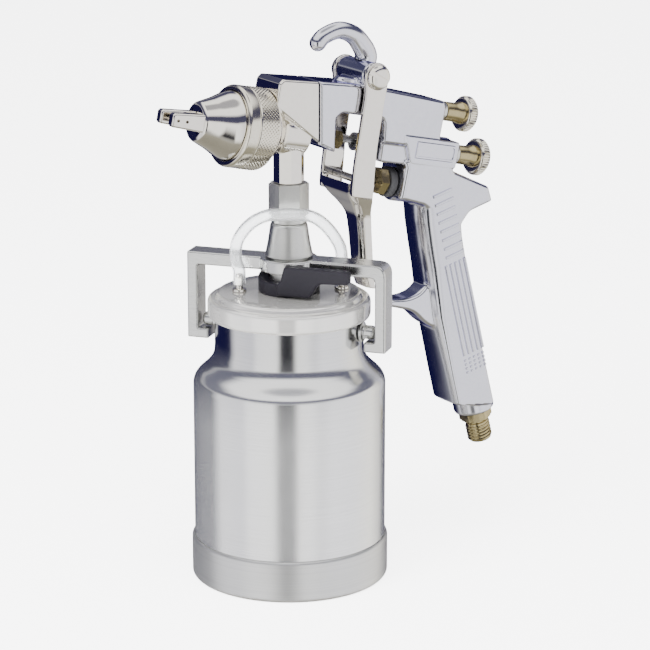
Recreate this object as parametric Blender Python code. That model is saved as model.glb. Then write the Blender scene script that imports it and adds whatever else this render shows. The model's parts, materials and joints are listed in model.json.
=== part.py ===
"""Siphon-feed spray gun with its under-slung quart cup.

Origin: centre of the cup's bottom, +Z up, the nozzle points along -X and down the
gun's own axis, which is pitched nose-up. Lengths below are millimetres; the last
step of every mesh turns them into metres.
"""
from math import cos, pi, radians, sin

import bmesh
import bpy
from mathutils import Matrix, Vector

MM = 0.001

# Driving dimensions.
gunPitch = radians(12.5)
axisHeight = 229.9          # where the gun's axis crosses the cup's axis
cupRadius = 48.8
cupWall = 2.0
neckRadius = 37.7
bandHeight = 21.6
lidRadius = 41.2
lidTop = 149.0
hubRadius = 15.5
yokeBottom = 160.4
yokeTop = 167.0
camDrop = 2.0
yokeSpan = 52.5
yokeWidth = 13.0
yokeAngle = radians(-50.5)
camTop = yokeBottom - camDrop - 0.4
padRing = 12.6              # the yoke's two pads ride the cam on this radius
ringRadius = 20.5
bodyHalf = 11.5
gripHalf = 12.0
strapInner = 13.0
strapOuter = 15.7
pivot = (36.0, 34.7)        # trigger pivot, along and above the gun's axis
valveDrop = -18.3           # air valve's axis
patternRise = 21.3          # pattern valve's axis
needleRadius = 1.25
fit = 0.3                   # clearance between touching pieces
seam = 10.6                 # the head meets the body on this upright plane
inletAt = (144.0, -125.0)   # a point on the air inlet's axis
inletLean = radians(26.8)   # the inlet's axis against the gun's own vertical


def clearScene():
    for ob in list(bpy.data.objects):
        bpy.data.objects.remove(ob, do_unlink=True)


def material(name, colour, roughness, metallic):
    made = bpy.data.materials.new(name)
    made.use_nodes = True
    shader = made.node_tree.nodes["Principled BSDF"]
    shader.inputs["Base Color"].default_value = (*colour, 1)
    shader.inputs["Roughness"].default_value = roughness
    shader.inputs["Metallic"].default_value = metallic
    return made


def empty(name, at=(0, 0, 0), turn=(0, 0, 0), parent=None):
    ob = bpy.data.objects.new(name, None)
    bpy.context.scene.collection.objects.link(ob)
    ob.location = Vector(at) * MM
    ob.rotation_euler = turn
    ob.parent = parent
    return ob


def place(name, mesh, look, parent=None, at=(0, 0, 0), turn=(0, 0, 0)):
    """Turn a millimetre bmesh into a named object."""
    bmesh.ops.scale(mesh, vec=(MM, MM, MM), verts=mesh.verts)
    bmesh.ops.recalc_face_normals(mesh, faces=mesh.faces)
    data = bpy.data.meshes.new(name)
    mesh.to_mesh(data)
    mesh.free()
    ob = bpy.data.objects.new(name, data)
    bpy.context.scene.collection.objects.link(ob)
    data.materials.append(look)
    ob.location = Vector(at) * MM
    ob.rotation_euler = turn
    ob.parent = parent
    return ob


def latheMesh(outline, sides=32):
    """Spin a closed outline of (radius, height) about Z."""
    mesh = bmesh.new()
    rim = [mesh.verts.new((r, 0, h)) for r, h in outline]
    for k, vert in enumerate(rim):
        after = rim[(k + 1) % len(rim)]
        if vert.co.x > 1e-6 or after.co.x > 1e-6:
            mesh.edges.new((vert, after))
    bmesh.ops.spin(mesh, geom=mesh.verts[:] + mesh.edges[:], cent=(0, 0, 0), axis=(0, 0, 1),
                   angle=2 * pi, steps=sides, use_duplicate=False)
    bmesh.ops.remove_doubles(mesh, verts=mesh.verts, dist=1e-4)
    return mesh


def rod(radius, low, high, sides=32, bore=0.0):
    if bore:
        outline = [(bore, low), (radius, low), (radius, high), (bore, high)]
    else:
        outline = [(0, low), (radius, low), (radius, high), (0, high)]
    return latheMesh(outline, sides)


def slab(outline, low, high, rounding=0.0, steps=3):
    """Extrude an (along, up) outline across Y, with both long edges rounded."""
    mesh = bmesh.new()
    face = mesh.faces.new([mesh.verts.new((u, low + rounding, v)) for u, v in outline])
    grown = bmesh.ops.extrude_face_region(mesh, geom=[face])["geom"]
    moved = [part for part in grown if isinstance(part, bmesh.types.BMVert)]
    bmesh.ops.translate(mesh, vec=(0, high - low - 2 * rounding, 0), verts=moved)
    bmesh.ops.recalc_face_normals(mesh, faces=mesh.faces)
    if rounding:
        caps = [f for f in mesh.faces if abs(f.normal.y) > 0.9]
        for k in range(steps):
            near, far = k / steps * pi / 2, (k + 1) / steps * pi / 2
            bmesh.ops.inset_region(mesh, faces=caps, use_even_offset=True,
                                   thickness=rounding * (cos(near) - cos(far)),
                                   depth=rounding * (sin(far) - sin(near)))
    return mesh


def arc(centre, radius, first, last, count):
    """Points along an arc, in degrees."""
    steps = [radians(first + (last - first) * k / (count - 1)) for k in range(count)]
    return [(centre[0] + radius * cos(t), centre[1] + radius * sin(t)) for t in steps]


def polygon(acrossFlats, low, high, bore=0.0, sides=6):
    """A hex bar along Z, with an optional bore."""
    corner = acrossFlats / 2 / cos(pi / sides)
    return rod(corner, low, high, sides) if not bore else hexTube(corner, bore, low, high, sides)


def hexTube(corner, bore, low, high, sides, rounds=24):
    """A hex tube: the bore has more sides than the outside, and both ends bridge them."""
    mesh = bmesh.new()
    loops = []
    for height in (low, high):
        outer = [mesh.verts.new((corner * cos(2 * pi * k / sides), corner * sin(2 * pi * k / sides),
                                 height)) for k in range(sides)]
        inner = [mesh.verts.new((bore * cos(2 * pi * k / rounds), bore * sin(2 * pi * k / rounds),
                                 height)) for k in range(rounds)]
        loops.append((outer, inner))
    share = rounds // sides
    for (outer, inner) in loops:
        for k in range(sides):
            arcVerts = [inner[(k * share + j) % rounds] for j in range(share + 1)]
            mesh.faces.new([outer[k], outer[(k + 1) % sides]] + arcVerts[::-1])
    (outLow, inLow), (outHigh, inHigh) = loops
    for low_, high_ in ((outLow, outHigh), (inLow, inHigh)):
        for k in range(len(low_)):
            j = (k + 1) % len(low_)
            mesh.faces.new([low_[k], low_[j], high_[j], high_[k]])
    return mesh


def helper(name, mesh, parent=None, at=(0, 0, 0), turn=(0, 0, 0)):
    """A hidden solid that a Boolean uses."""
    ob = place(name, mesh, shopGrey, parent, at, turn)
    ob.hide_render = True
    ob.display_type = "WIRE"
    return ob


def combine(target, other, operation):
    change = target.modifiers.new(other.name, "BOOLEAN")
    change.operation = operation
    change.solver = "EXACT"
    change.object = other


def atSeam(v, gap):
    """Where the upright seam plane, moved by gap, lies at height v of the gun's frame."""
    return (seam + gap - v * sin(gunPitch)) / cos(gunPitch)


clearScene()

shopGrey = material("shopGrey", (0.5, 0.5, 0.5), 0.5, 0.0)
brushedCup = material("brushedCup", (0.80, 0.80, 0.79), 0.34, 1.0)
bandGrey = material("bandGrey", (0.66, 0.66, 0.65), 0.42, 1.0)
mirrorLid = material("mirrorLid", (0.82, 0.82, 0.80), 0.10, 1.0)
castPost = material("castPost", (0.70, 0.70, 0.66), 0.45, 1.0)
warmNut = material("warmNut", (0.72, 0.72, 0.68), 0.50, 1.0)
yokeSteel = material("yokeSteel", (0.68, 0.68, 0.66), 0.33, 1.0)
leverBlack = material("leverBlack", (0.015, 0.015, 0.018), 0.45, 0.0)
polishedBody = material("polishedBody", (0.80, 0.80, 0.85), 0.16, 1.0)
brightNickel = material("brightNickel", (0.84, 0.80, 0.70), 0.15, 1.0)
warmBrass = material("warmBrass", (0.62, 0.55, 0.33), 0.28, 1.0)
springSteel = material("springSteel", (0.60, 0.60, 0.60), 0.30, 1.0)
clearTube = material("clearTube", (0.85, 0.86, 0.86), 0.25, 0.0)
gasketDark = material("gasketDark", (0.05, 0.05, 0.05), 0.70, 0.0)
pinDark = material("pinDark", (0.12, 0.12, 0.12), 0.40, 1.0)

gunAxes = empty("gunAxes", (0, 0, axisHeight), (0, gunPitch, 0))
alongGun = (0, pi / 2, 0)
yokeAxes = empty("yokeAxes", (0, 0, 0), (0, 0, yokeAngle))
inletAxis = empty("inletAxis", (inletAt[0], 0, inletAt[1]), (0, pi - inletLean, 0), gunAxes)


# Cup --------------------------------------------------------------------------------

def cup():
    shoulder = [(cupRadius, 102.5), (48.0, 105.2), (45.9, 107.6), (42.6, 110.4), (39.6, 114.0),
                (38.1, 117.5), (neckRadius, 121.0)]
    outer = [(0, 1.5), (cupRadius - 2.5, 1.5), (cupRadius, 4.0)] + shoulder + [(neckRadius, 141.2)]
    inner = [(r - cupWall, h) for r, h in reversed(shoulder + [(neckRadius, 141.2)])]
    floor = [(cupRadius - cupWall, 6.0), (cupRadius - 5.0, 3.8), (0, 3.8)]
    place("cup_shell", latheMesh(outer + inner + floor, 64), brushedCup)
    bandIn, bandOut = cupRadius + fit, 50.2
    place("base_band", latheMesh([(0, 0), (bandOut - 0.6, 0), (bandOut, 0.6), (bandOut, bandHeight - 0.4),
                                  (bandOut - 0.3, bandHeight), (bandIn, bandHeight), (bandIn, 3.9),
                                  (46.5, 1.2), (0, 1.2)], 64), bandGrey)


def cupStuds():
    """Two flanged pins on the cup's neck; the yoke's hooks pull up on them."""
    for side, name in ((-1, "cup_stud_left"), (1, "cup_stud_right")):
        outline = [(0, 0), (5.2, 0), (5.2, 1.4), (3.5, 2.4), (3.5, 7.0), (2.9, 7.8), (0, 7.8)]
        turn = (0, side * pi / 2, 0)
        place(name, latheMesh(outline, 24), yokeSteel, yokeAxes, (side * (neckRadius + fit + 0.4), 0,
                                                                  131.0), turn)


cup()
cupStuds()


# Lid, clamp and feed ----------------------------------------------------------------

def lid():
    place("lid_gasket", latheMesh([(33.6, 141.5), (38.3, 141.5), (38.3, 143.5), (33.6, 143.5)], 48),
          gasketDark)
    skirt = [(39.4, 146.4), (40.7, 145.6), (lidRadius, 144.2), (lidRadius, 138.4), (40.6, 137.2),
             (39.6, 136.8), (38.8, 136.8), (38.8, 143.9), (34.4, 143.9), (34.4, 146.8), (7.6, 146.8)]
    crown = [(7.6, lidTop), (35.0, lidTop), (36.3, 148.4), (36.9, 147.2), (37.0, 146.4)]
    lidPlate = place("cup_lid", latheMesh(crown + skirt, 64), mirrorLid)
    for name, at in (("ventHoleRight", barbRight), ("ventHoleLeft", barbLeft)):
        combine(lidPlate, helper(name, rod(1.7, 140, 155, 16), None, (*at, 0)), "DIFFERENCE")


def post():
    """The lid's cast post carries the gun; its waist clears the clamp."""
    outline = [(4.3, 135.0), (7.2, 135.0), (7.2, 149.3), (9.6, 149.3), (9.6, 168.0), (12.2, 168.0),
               (11.6, 169.0), (9.0, 184.6), (6.0, 184.6), (6.0, 194.8), (3.0, 194.8), (3.0, 150.0),
               (4.3, 150.0)]
    place("lid_post", latheMesh(outline, 40), castPost)
    place("siphon_tube", rod(4.0, 8.0, 149.5, 20, 2.9), yokeSteel)
    place("post_washer", rod(8.8, 184.9, 188.2, 32, 6.3), castPost)
    place("cup_nut", polygon(17.6, 188.5, 205.0, 6.4), warmNut)


def clampLever():
    """A black cam: its two ramps hold the yoke up until the arm is turned."""
    mesh = bmesh.new()
    sides, inner = 72, 9.9
    ramp, level = 60, 24
    tops = []
    for k in range(sides):
        degree = (k * 360 / sides - 3) % 180
        fall = min(degree, ramp) / ramp * camDrop
        tops.append(camTop if degree > 180 - level else camTop - fall)
    rings = []
    for radius, heights in ((inner, [lidTop + fit] * sides), (hubRadius, [lidTop + fit] * sides),
                            (hubRadius, tops), (inner, tops)):
        rings.append([mesh.verts.new((radius * cos(2 * pi * k / sides), radius * sin(2 * pi * k / sides),
                                      heights[k])) for k in range(sides)])
    for a, b in zip(rings, rings[1:] + rings[:1]):
        for k in range(sides):
            j = (k + 1) % sides
            mesh.faces.new([a[k], a[j], b[j], b[k]])
    lever = place("cam_lever", mesh, leverBlack, leverAxes)
    arm = [(-1.0, 150.5), (17.0, 150.5), (21.0, 158.2), (36.0, 158.8), (36.8, 159.6), (36.8, 164.6),
           (36.0, 165.6), (3.0, 165.6), (1.0, 158.0), (-1.0, 156.0)]
    inset = helper("leverArm", slab(arm, -17.6, -12.2, 0.8, 2), leverAxes)
    combine(lever, inset, "UNION")
    combine(lever, helper("eyeSweep", rod(15.0, camTop + 0.1, 175.0, 48), leverAxes), "DIFFERENCE")
    return lever


def yoke():
    """A bent strap with an eye round the post, two legs and a hook under each stud."""
    span, inside = yokeSpan, yokeSpan - 5.6
    outer = [(-span, 122.0), (-span, 162.5)] + arc((-span + 4.5, yokeTop - 4.5), 4.5, 180, 90, 4)
    outer += arc((span - 4.5, yokeTop - 4.5), 4.5, 90, 0, 4) + [(span, 122.0)]
    hookIn, hookTop = neckRadius + 3.6, 127.0
    right = [(hookIn, 122.0), (hookIn, hookTop), (inside, hookTop), (inside, yokeBottom)]
    left = [(-r, h) for r, h in reversed(right)]
    strap = place("yoke", slab(outer + right + left, -yokeWidth / 2, yokeWidth / 2), yokeSteel, yokeAxes)
    combine(strap, helper("eyeDisc", rod(14.6, yokeBottom, yokeTop, 40), yokeAxes), "UNION")
    for side in (-1, 1):
        pad = helper("campad%d" % side, rod(1.8, camTop + fit, yokeBottom + 1, 16), yokeAxes,
                     (side * padRing * cos(radians(12)), side * padRing * sin(radians(12)), 0))
        combine(strap, pad, "UNION")
    combine(strap, helper("eyeHole", rod(10.1, 150, 175, 40), yokeAxes), "DIFFERENCE")


barbRight = (23.6, -12.0)
barbLeft = (-22.6, 11.0)
leverAxes = empty("leverAxes", (0, 0, 0), (0, 0, yokeAngle))


def ventParts():
    """Two barbs on the lid and the clear drip tube that bridges them."""
    barb = [(1.2, lidTop + fit), (3.6, lidTop + fit), (3.6, 150.8), (1.8, 151.4), (1.8, 157.2), (2.1,
                                                                                                 157.6),
            (1.7, 158.6), (1.2, 158.6)]
    place("vent_barb_right", latheMesh(barb, 16), brightNickel, None, (*barbRight, 0))
    place("vent_barb_left", latheMesh(barb, 16), brightNickel, None, (*barbLeft, 0))


lid()
post()
clampLever()
yoke()
ventParts()


def ventTube():
    """The formed tube's route: up from the left barb, round the post's front, down to the right barb."""
    route = [(*barbLeft, 158.9), (*barbLeft, 160.5), (-24.1, 11.8, 166.0), (-23.9, 10.6, 175.0), (-22.0,
                                                                                                  5.9,
                                                                                                  182.6),
             (-19.4, -0.6, 188.3), (-15.2, -6.3, 191.4), (-10.7, -10.2, 191.8), (-6.2, -13.3, 191.8),
             (2.9, -15.5, 190.3), (11.5, -14.5, 184.9), (19.2, -13.0, 176.6), (23.4, -12.0, 169.0),
             (*barbRight, 160.5), (*barbRight, 158.9)]
    bar("vent_tube", route, [3.1] * len(route), clearTube, None, 5, 2)


def bar(name, route, radii, look, parent, along, around):
    """A round bar through the points of a route, as thick at each point as its radius says."""
    data = bpy.data.curves.new(name, "CURVE")
    data.dimensions = "3D"
    data.bevel_depth = MM
    data.bevel_resolution = around
    data.resolution_u = along
    data.render_resolution_u = 0
    data.use_fill_caps = True
    line = data.splines.new("BEZIER")
    line.bezier_points.add(len(route) - 1)
    for point, at, radius in zip(line.bezier_points, route, radii):
        point.co = Vector(at) * MM
        point.radius = radius
        point.handle_left_type = point.handle_right_type = "AUTO"
    data.materials.append(look)
    ob = bpy.data.objects.new(name, data)
    bpy.context.scene.collection.objects.link(ob)
    ob.parent = parent
    return ob


ventTube()


# Fluid head -------------------------------------------------------------------------

def fluidHead():
    top = [(-17.4, 13.0), (-17.4, 24.6), (-15.6, 26.8), (atSeam(28.2, -fit), 28.2), (atSeam(-3, -fit),
                                                                                     -3.0),
           (-2.0, 5.0)]
    head = place("gun_head", slab(top, -bodyHalf, bodyHalf, 1.6), brightNickel, gunAxes)
    neck = latheMesh([(0, -31.8), (16.4, -31.8), (16.9, -31.2), (16.9, -16.5), (15.6, -14.0), (11.2, -9.0),
                      (10.8, 0.0), (10.8, 7.0), (0, 7.0)], 40)
    combine(head, helper("headNeck", neck, gunAxes, (0, 0, 0), alongGun), "UNION")
    combine(head, helper("headSeamCut", rodAlongSeam(-fit, 30), None), "DIFFERENCE")
    combine(head, helper("nozzleSeat", rod(9.1, -35, -21.6, 32), gunAxes, (0, 0, 0), alongGun),
            "DIFFERENCE")
    combine(head, needleBore, "DIFFERENCE")
    combine(head, helper("stemSocket", rod(8.05, 205, 224.2, 32), None), "DIFFERENCE")
    combine(head, helper("feedHole", rod(2.5, 220, axisHeight, 16), None), "DIFFERENCE")
    gasket = [(atSeam(27.2, 0), 27.2), (atSeam(27.2, 0.7), 27.2), (atSeam(-1.5, 0.7), -1.5),
              (atSeam(-1.5, 0), -1.5)]
    seal = place("head_gasket", slab(gasket, -10.4, 10.4), gasketDark, gunAxes)
    combine(seal, needleBore, "DIFFERENCE")


def rodAlongSeam(gap, thick):
    """A block whose near face is the seam plane; it trims what would cross it."""
    mesh = bmesh.new()
    bmesh.ops.create_cube(mesh, size=1)
    bmesh.ops.scale(mesh, vec=(thick, 60, 90), verts=mesh.verts)
    bmesh.ops.translate(mesh, vec=(seam + gap + thick / 2, 0, axisHeight + 5), verts=mesh.verts)
    return mesh


def inletStem():
    stem = place("fluid_inlet_stem", polygon(14.4, 205.3, 223.8, 2.5, 8), brightNickel)
    combine(stem, helper("stemTail", latheMesh([(2.5, 195.3), (6.0, 195.3), (6.0, 206.0), (2.5, 206.0)],
                                               24)),
            "UNION")
    return stem


def nozzleAndCap():
    place("fluid_nozzle", latheMesh([(1.55, -54.9), (2.25, -54.9), (2.25, -51.6), (4.6, -46.0), (4.6,
                                                                                                 -39.0),
                                     (8.8, -39.0), (8.8, -21.9), (2.3, -21.9), (2.3, -45.0), (1.55,
                                                                                              -49.0)], 32),
          warmBrass, gunAxes, (0, 0, 0), alongGun)
    capShape = [(2.6, -55.0), (8.7, -55.0), (9.6, -54.2), (17.2, -36.4), (17.35, -34.2), (18.8, -34.2),
                (18.8, -32.2), (13.4, -32.2), (13.4, -36.5), (5.6, -50.5), (2.6, -52.2)]
    cap = place("air_cap", latheMesh(capShape, 48), brightNickel, gunAxes, (0, 0, 0), alongGun)
    for side, name in ((-1, "hornNear"), (1, "hornFar")):
        horn = [(-53.6, -4.0), (-53.6, 4.0), (-71.2, 3.4), (-72.0, 2.6), (-72.0, -2.6), (-71.2, -3.4)]
        edges = sorted((side * 3.2, side * 8.2))
        combine(cap, helper(name, slab(horn, *edges, 0.5, 1), gunAxes), "UNION")
    ring = [(17.7, -36.0), (19.4, -36.0), (ringRadius - 0.1, -35.0), (ringRadius - 0.1, -29.8),
            (ringRadius - 0.5, -29.4), (ringRadius - 0.5, -28.9), (ringRadius, -28.4), (ringRadius, -18.6),
            (ringRadius - 0.6, -18.0), (17.2, -18.0), (17.2, -31.0), (19.1, -31.0), (19.1, -34.5),
            (17.7, -34.5)]
    place("retaining_ring", latheMesh(ring, 56), brightNickel, gunAxes, (0, 0, 0), alongGun)


def needle():
    """The fluid needle: a taper at the nozzle, a collar for the trigger and one for its spring."""
    r = needleRadius
    place("fluid_needle", latheMesh([(0, -56.0), (0.35, -56.0), (r, -52.5), (r, 44.3), (4.1, 44.3),
                                     (4.1, 47.0),
                                     (r, 47.0), (r, 64.0), (3.6, 64.0), (3.6, 66.0), (r, 66.0), (r, 100.0),
                                     (0, 100.0)], 16), springSteel, gunAxes, (0, 0, 0), alongGun)
    place("needle_packing_nut", polygon(9.0, 22.8, 30.0, 1.6), warmBrass, gunAxes, (0, 0, 0), alongGun)
    coil("needle_spring", 2.7, 0.45, 73.5, 96.5, 9, 0.0, 0.0)


def coil(name, radius, wire, low, high, turns, rise, side):
    """A coil spring along the gun's axis."""
    points = []
    steps = turns * 8
    for k in range(steps + 1):
        t = 2 * pi * turns * k / steps
        points.append((low + (high - low) * k / steps, radius * cos(t) + side, radius * sin(t) + rise))
    bar(name, points, [wire] * len(points), springSteel, gunAxes, 1, 0)


needleBore = helper("needleBore", rod(2.2, -30, 30, 20), gunAxes, (0, 0, 0), alongGun)
fluidHead()
inletStem()
nozzleAndCap()
needle()


# Gun body ---------------------------------------------------------------------------

def gunBody():
    grip = [(60.0, -4.0), (66.8, -9.0), (66.8, -25.5), (79.0, -27.0), (89.2, -50.0), (97.6, -70.5),
            (104.0, -85.5), (111.5, -100.0), (126.8, -130.2), (152.4, -127.6), (134.3, -91.5),
            (115.0, -49.5), (109.6, -38.0), (110.6, -28.5), (126.0, -20.5), (121.2, -13.4), (97.3, -7.8),
            (94.0, -4.0)]
    body = place("gun_body", slab(grip, -gripHalf, gripHalf, 3.0), polishedBody, gunAxes)
    upper = [(atSeam(28.3, 1.0), 28.3), (26.0, 29.4), (48.9, 29.0), (83.0, 27.2), (84.8, 24.0), (84.8, 4.0),
             (50.2, 4.0), (48.2, 14.2), (22.0, 14.2), (19.6, 12.4), (22.6, -5.8), (atSeam(-3.0, 1.0), -3.0)]
    lower = [(50.4, 7.3), (97.4, 7.3), (97.4, -8.0), (51.2, -8.0)]
    rest = [(99.0, -66.0), (93.8, -73.8), (85.0, -77.2), (76.6, -78.2), (75.4, -80.0), (77.2, -81.6),
            (92.0, -83.0), (101.0, -89.0), (110.0, -92.0), (108.0, -70.0)]
    boss = rod(6.8, -bodyHalf - 0.9, bodyHalf + 0.9, 28)
    across = (pi / 2, 0, 0)
    pieces = [helper("upperBlock", slab(upper, -bodyHalf, bodyHalf, 2.0), gunAxes),
              helper("lowerBlock", slab(lower, -9.6, 9.6, 1.6), gunAxes),
              helper("fingerRest", slab(rest, -7.0, 7.0, 1.4, 2), gunAxes),
              helper("pivotBoss", boss, gunAxes, (pivot[0], 0, pivot[1]), across),
              helper("hookFoot", rod(8.0, 24.0, 31.4, 28), gunAxes, (30.5, 0, 0)),
              helper("valveBoss", rod(9.4, 66.8, 84.0, 32), gunAxes, (0, 0, valveDrop), alongGun),
              helper("rearBoss", rod(8.0, 88.0, 97.7, 28), gunAxes, (0, 0, 0), alongGun),
              helper("inletBoss", rod(10.8, -12.0, 8.9, 32), inletAxis)]
    for piece in pieces:
        combine(body, piece, "UNION")
    cuts = [needleBore,
            helper("springBore", rod(4.4, 44, 99, 24), gunAxes, (0, 0, 0), alongGun),
            helper("patternBore", rod(3.6, 58, 90, 20), gunAxes, (0, 0, patternRise), alongGun),
            helper("valveBore", rod(5.0, 60, 98, 24), gunAxes, (0, 0, valveDrop), alongGun),
            helper("airBore", rod(5.6, -114.0, 12, 24), inletAxis),
            helper("pivotBore", rod(2.8, -20, 20, 20), gunAxes, (pivot[0], 0, pivot[1]), across)]
    for piece in cuts:
        combine(body, piece, "DIFFERENCE")


def hook():
    route = [(37.3, 0, 41.9), (37.3, 0, 43.6), (34.4, 0, 47.6), (27.6, 0, 52.7), (18.5, 0, 54.0),
             (10.4, 0, 50.1), (7.4, 0, 46.2)]
    bar("hanging_hook", route, [5.7, 5.6, 5.3, 4.8, 4.4, 4.2, 4.2], polishedBody, gunAxes, 6, 3)


def knob(name, radius, low, height, look):
    """A screw knob: a plain hub and a wide rim with eased edges."""
    outline = [(1.7, low), (4.9, low), (5.0, low + 11.0), (radius - 0.9, low + 11.6), (radius, low + 12.6),
               (radius, low + 15.4), (radius - 1.3, low + 17.0), (0, low + 17.2), (0, low + 2.0 + height),
               (1.7, low + 2.0 + height)]
    return place(name, latheMesh(outline, 40), look)


def rearControls():
    for name, radius, low, rise, depth in (("fluid_knob", 9.3, 103.8, 0.0, 12.0),
                                           ("pattern_knob", 8.9, 91.0, patternRise, 8.0)):
        made = knob(name, radius, low, depth, brightNickel)
        made.parent, made.location, made.rotation_euler = gunAxes, Vector((0, 0, rise)) * MM, alongGun
    place("fluid_knob_bushing", latheMesh([(1.6, 97.8 + fit), (5.4, 97.8 + fit), (5.4, 103.5), (1.6,
                                                                                                103.5)],
                                                                                                24),
          yokeSteel, gunAxes, (0, 0, 0), alongGun)
    place("pattern_valve_bushing", latheMesh([(1.9, 85.1), (5.0, 85.1), (5.0, 90.7), (1.9, 90.7)], 24),
          yokeSteel, gunAxes, (0, 0, patternRise), alongGun)
    place("pattern_valve_stem", latheMesh([(0, 62.0), (2.0, 62.0), (3.0, 66.0), (3.0, 80.0), (1.5, 80.0),
                                           (1.5, 98.0), (0, 98.0)], 20),
          springSteel, gunAxes, (0, 0, patternRise), alongGun)


def airValve():
    turn, at = alongGun, (0, 0, valveDrop)
    cage = place("air_valve_cage", polygon(12.8, 56.8, 61.9, 1.9), warmBrass, gunAxes, at, turn)
    combine(cage, helper("cageBarrel", rod(4.6, 61.5, 74.0, 24, 1.9), gunAxes, at, turn), "UNION")
    place("air_valve_seal", latheMesh([(4.9, 62.2), (7.6, 62.2), (7.8, 62.8), (7.8, 66.0), (7.6, 66.5),
                                       (4.9, 66.5)], 32), gasketDark, gunAxes, at, turn)
    place("air_valve_stem", latheMesh([(0, 43.3), (1.3, 43.3), (1.6, 43.8), (1.6, 74.4), (3.6, 74.4),
                                       (3.6, 76.8),
                                       (0, 76.8)], 16), springSteel, gunAxes, at, turn)
    coil("air_valve_spring", 2.6, 0.4, 87.0, 93.0, 4, valveDrop, 0.0)


def airInlet():
    thread = [(3.2, 0.4), (5.3, 0.4), (5.3, 9.2), (5.8, 9.2), (5.8, 15.2), (6.6, 15.8), (6.6, 26.4),
              (6.0, 27.0),
              (3.2, 27.0)]
    nipple = place("air_inlet_nipple", latheMesh(thread, 32), warmBrass, inletAxis)
    combine(nipple, helper("nippleHex", polygon(15.2, 9.3, 14.4, 4.6), inletAxis), "UNION")


gunBody()
hook()
rearControls()
airValve()
airInlet()


# Trigger ----------------------------------------------------------------------------

def trigger():
    """Two legs astride the body run into a narrow finger channel."""
    triggerAxes = empty("triggerAxes", (pivot[0], 0, pivot[1]), (0, 0, 0), gunAxes)
    shift = Vector((-pivot[0], 0, -pivot[1]))
    mesh = channel([(-24.0, 33.6, 46.6, strapOuter), (-28.0, 37.4, 48.8, 13.6), (-32.0, 42.4, 51.0, 10.2),
                    (-37.0, 46.2, 53.6, 7.8), (-54.0, 52.0, 58.9, 7.2), (-67.0, 56.8, 63.0, 7.0),
                    (-73.0, 60.0, 65.4, 6.6)])
    bmesh.ops.translate(mesh, vec=shift, verts=mesh.verts)
    grip = place("trigger", mesh, brightNickel, triggerAxes)
    leg = arc(pivot, 7.2, 190, -10, 12) + [(42.9, 26.0), (43.9, -1.5), (46.6, -23.0), (46.9, -26.4),
                                           (34.4, -26.4), (33.6, -23.0), (32.3, -10.0), (31.2, 26.0)]
    for side, name in ((-1, "legNear"), (1, "legFar")):
        edges = sorted((side * strapInner, side * strapOuter))
        mesh = slab(leg, *edges)
        bmesh.ops.translate(mesh, vec=shift, verts=mesh.verts)
        combine(grip, helper(name, mesh, triggerAxes), "UNION")
    combine(grip, helper("pivotEye", rod(2.8, -20, 20, 20), triggerAxes, (0, 0, 0), (pi / 2, 0, 0)),
            "DIFFERENCE")
    across = (pi / 2, 0, 0)
    for name, rise in (("needle_push_bar", 0.0), ("valve_push_bar", valveDrop)):
        made = place(name, rod(2.0, -strapInner + fit, strapInner - fit, 16), springSteel, triggerAxes,
                     (41.2 - pivot[0], 0, rise - pivot[1]), across)
        if rise == 0.0:
            combine(made, helper("needleEye", rod(4.7, -2.0, 2.2, 24), triggerAxes, (5.2, 0, -pivot[1]),
                                 alongGun),
                    "UNION")
            combine(made, helper("needleSlot", rod(3.35, -30, 30, 20), triggerAxes, (5.2, 0, -pivot[1]),
                                 alongGun),
                    "DIFFERENCE")


def channel(sections):
    """A U-shaped channel through (height, front, back, half width) sections, open to the rear."""
    mesh = bmesh.new()
    wall = 2.4
    loops = []
    for v, front, back, half in sections:
        ease = min(2.0, half * 0.25)
        outline = [(back, -half), (front + ease, -half), (front, -half + ease), (front, half - ease),
                   (front + ease, half), (back, half), (back, half - wall), (front + wall + 0.6,
                                                                             half - wall),
                   (front + wall + 0.6, -half + wall), (back, -half + wall)]
        loops.append([mesh.verts.new((u, y, v)) for u, y in outline])
    count = len(loops[0])
    for a, b in zip(loops, loops[1:]):
        for k in range(count):
            j = (k + 1) % count
            mesh.faces.new([a[k], a[j], b[j], b[k]])
    mesh.faces.new(loops[0])
    mesh.faces.new(loops[-1])
    return mesh


def pivotHardware():
    """A headed stud from the far side and a slotted screw from the near side."""
    at, across = (pivot[0], 0, pivot[1]), (pi / 2, 0, 0)
    head = strapOuter + fit
    place("trigger_stud", latheMesh([(0, -head - 2.4), (5.2, -head - 2.4), (6.2, -head - 1.4), (6.2, -head),
                                     (2.5, -head), (2.5, 7.0), (0, 7.0)], 28), brightNickel, gunAxes,
                                     at, across)
    screw = place("trigger_screw", latheMesh([(0, 7.3), (2.5, 7.3), (2.5, head), (6.4, head), (6.4,
                                                                                               head + 1.2),
                                              (5.0, head + 2.8), (2.6, head + 3.4), (0, head + 3.5)], 28),
                  brightNickel, gunAxes, at, across)
    slot = slab([(-9, -0.8), (9, -0.8), (9, 0.8), (-9, 0.8)], -head - 5.0, -head - 2.0)
    combine(screw, helper("screwSlot", slot, gunAxes, at, (0, radians(20), 0)), "DIFFERENCE")


trigger()
pivotHardware()
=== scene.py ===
import json
from math import atan2, cos, pi, radians, sin

import bmesh
import bpy
from mathutils import Matrix, Vector


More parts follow.
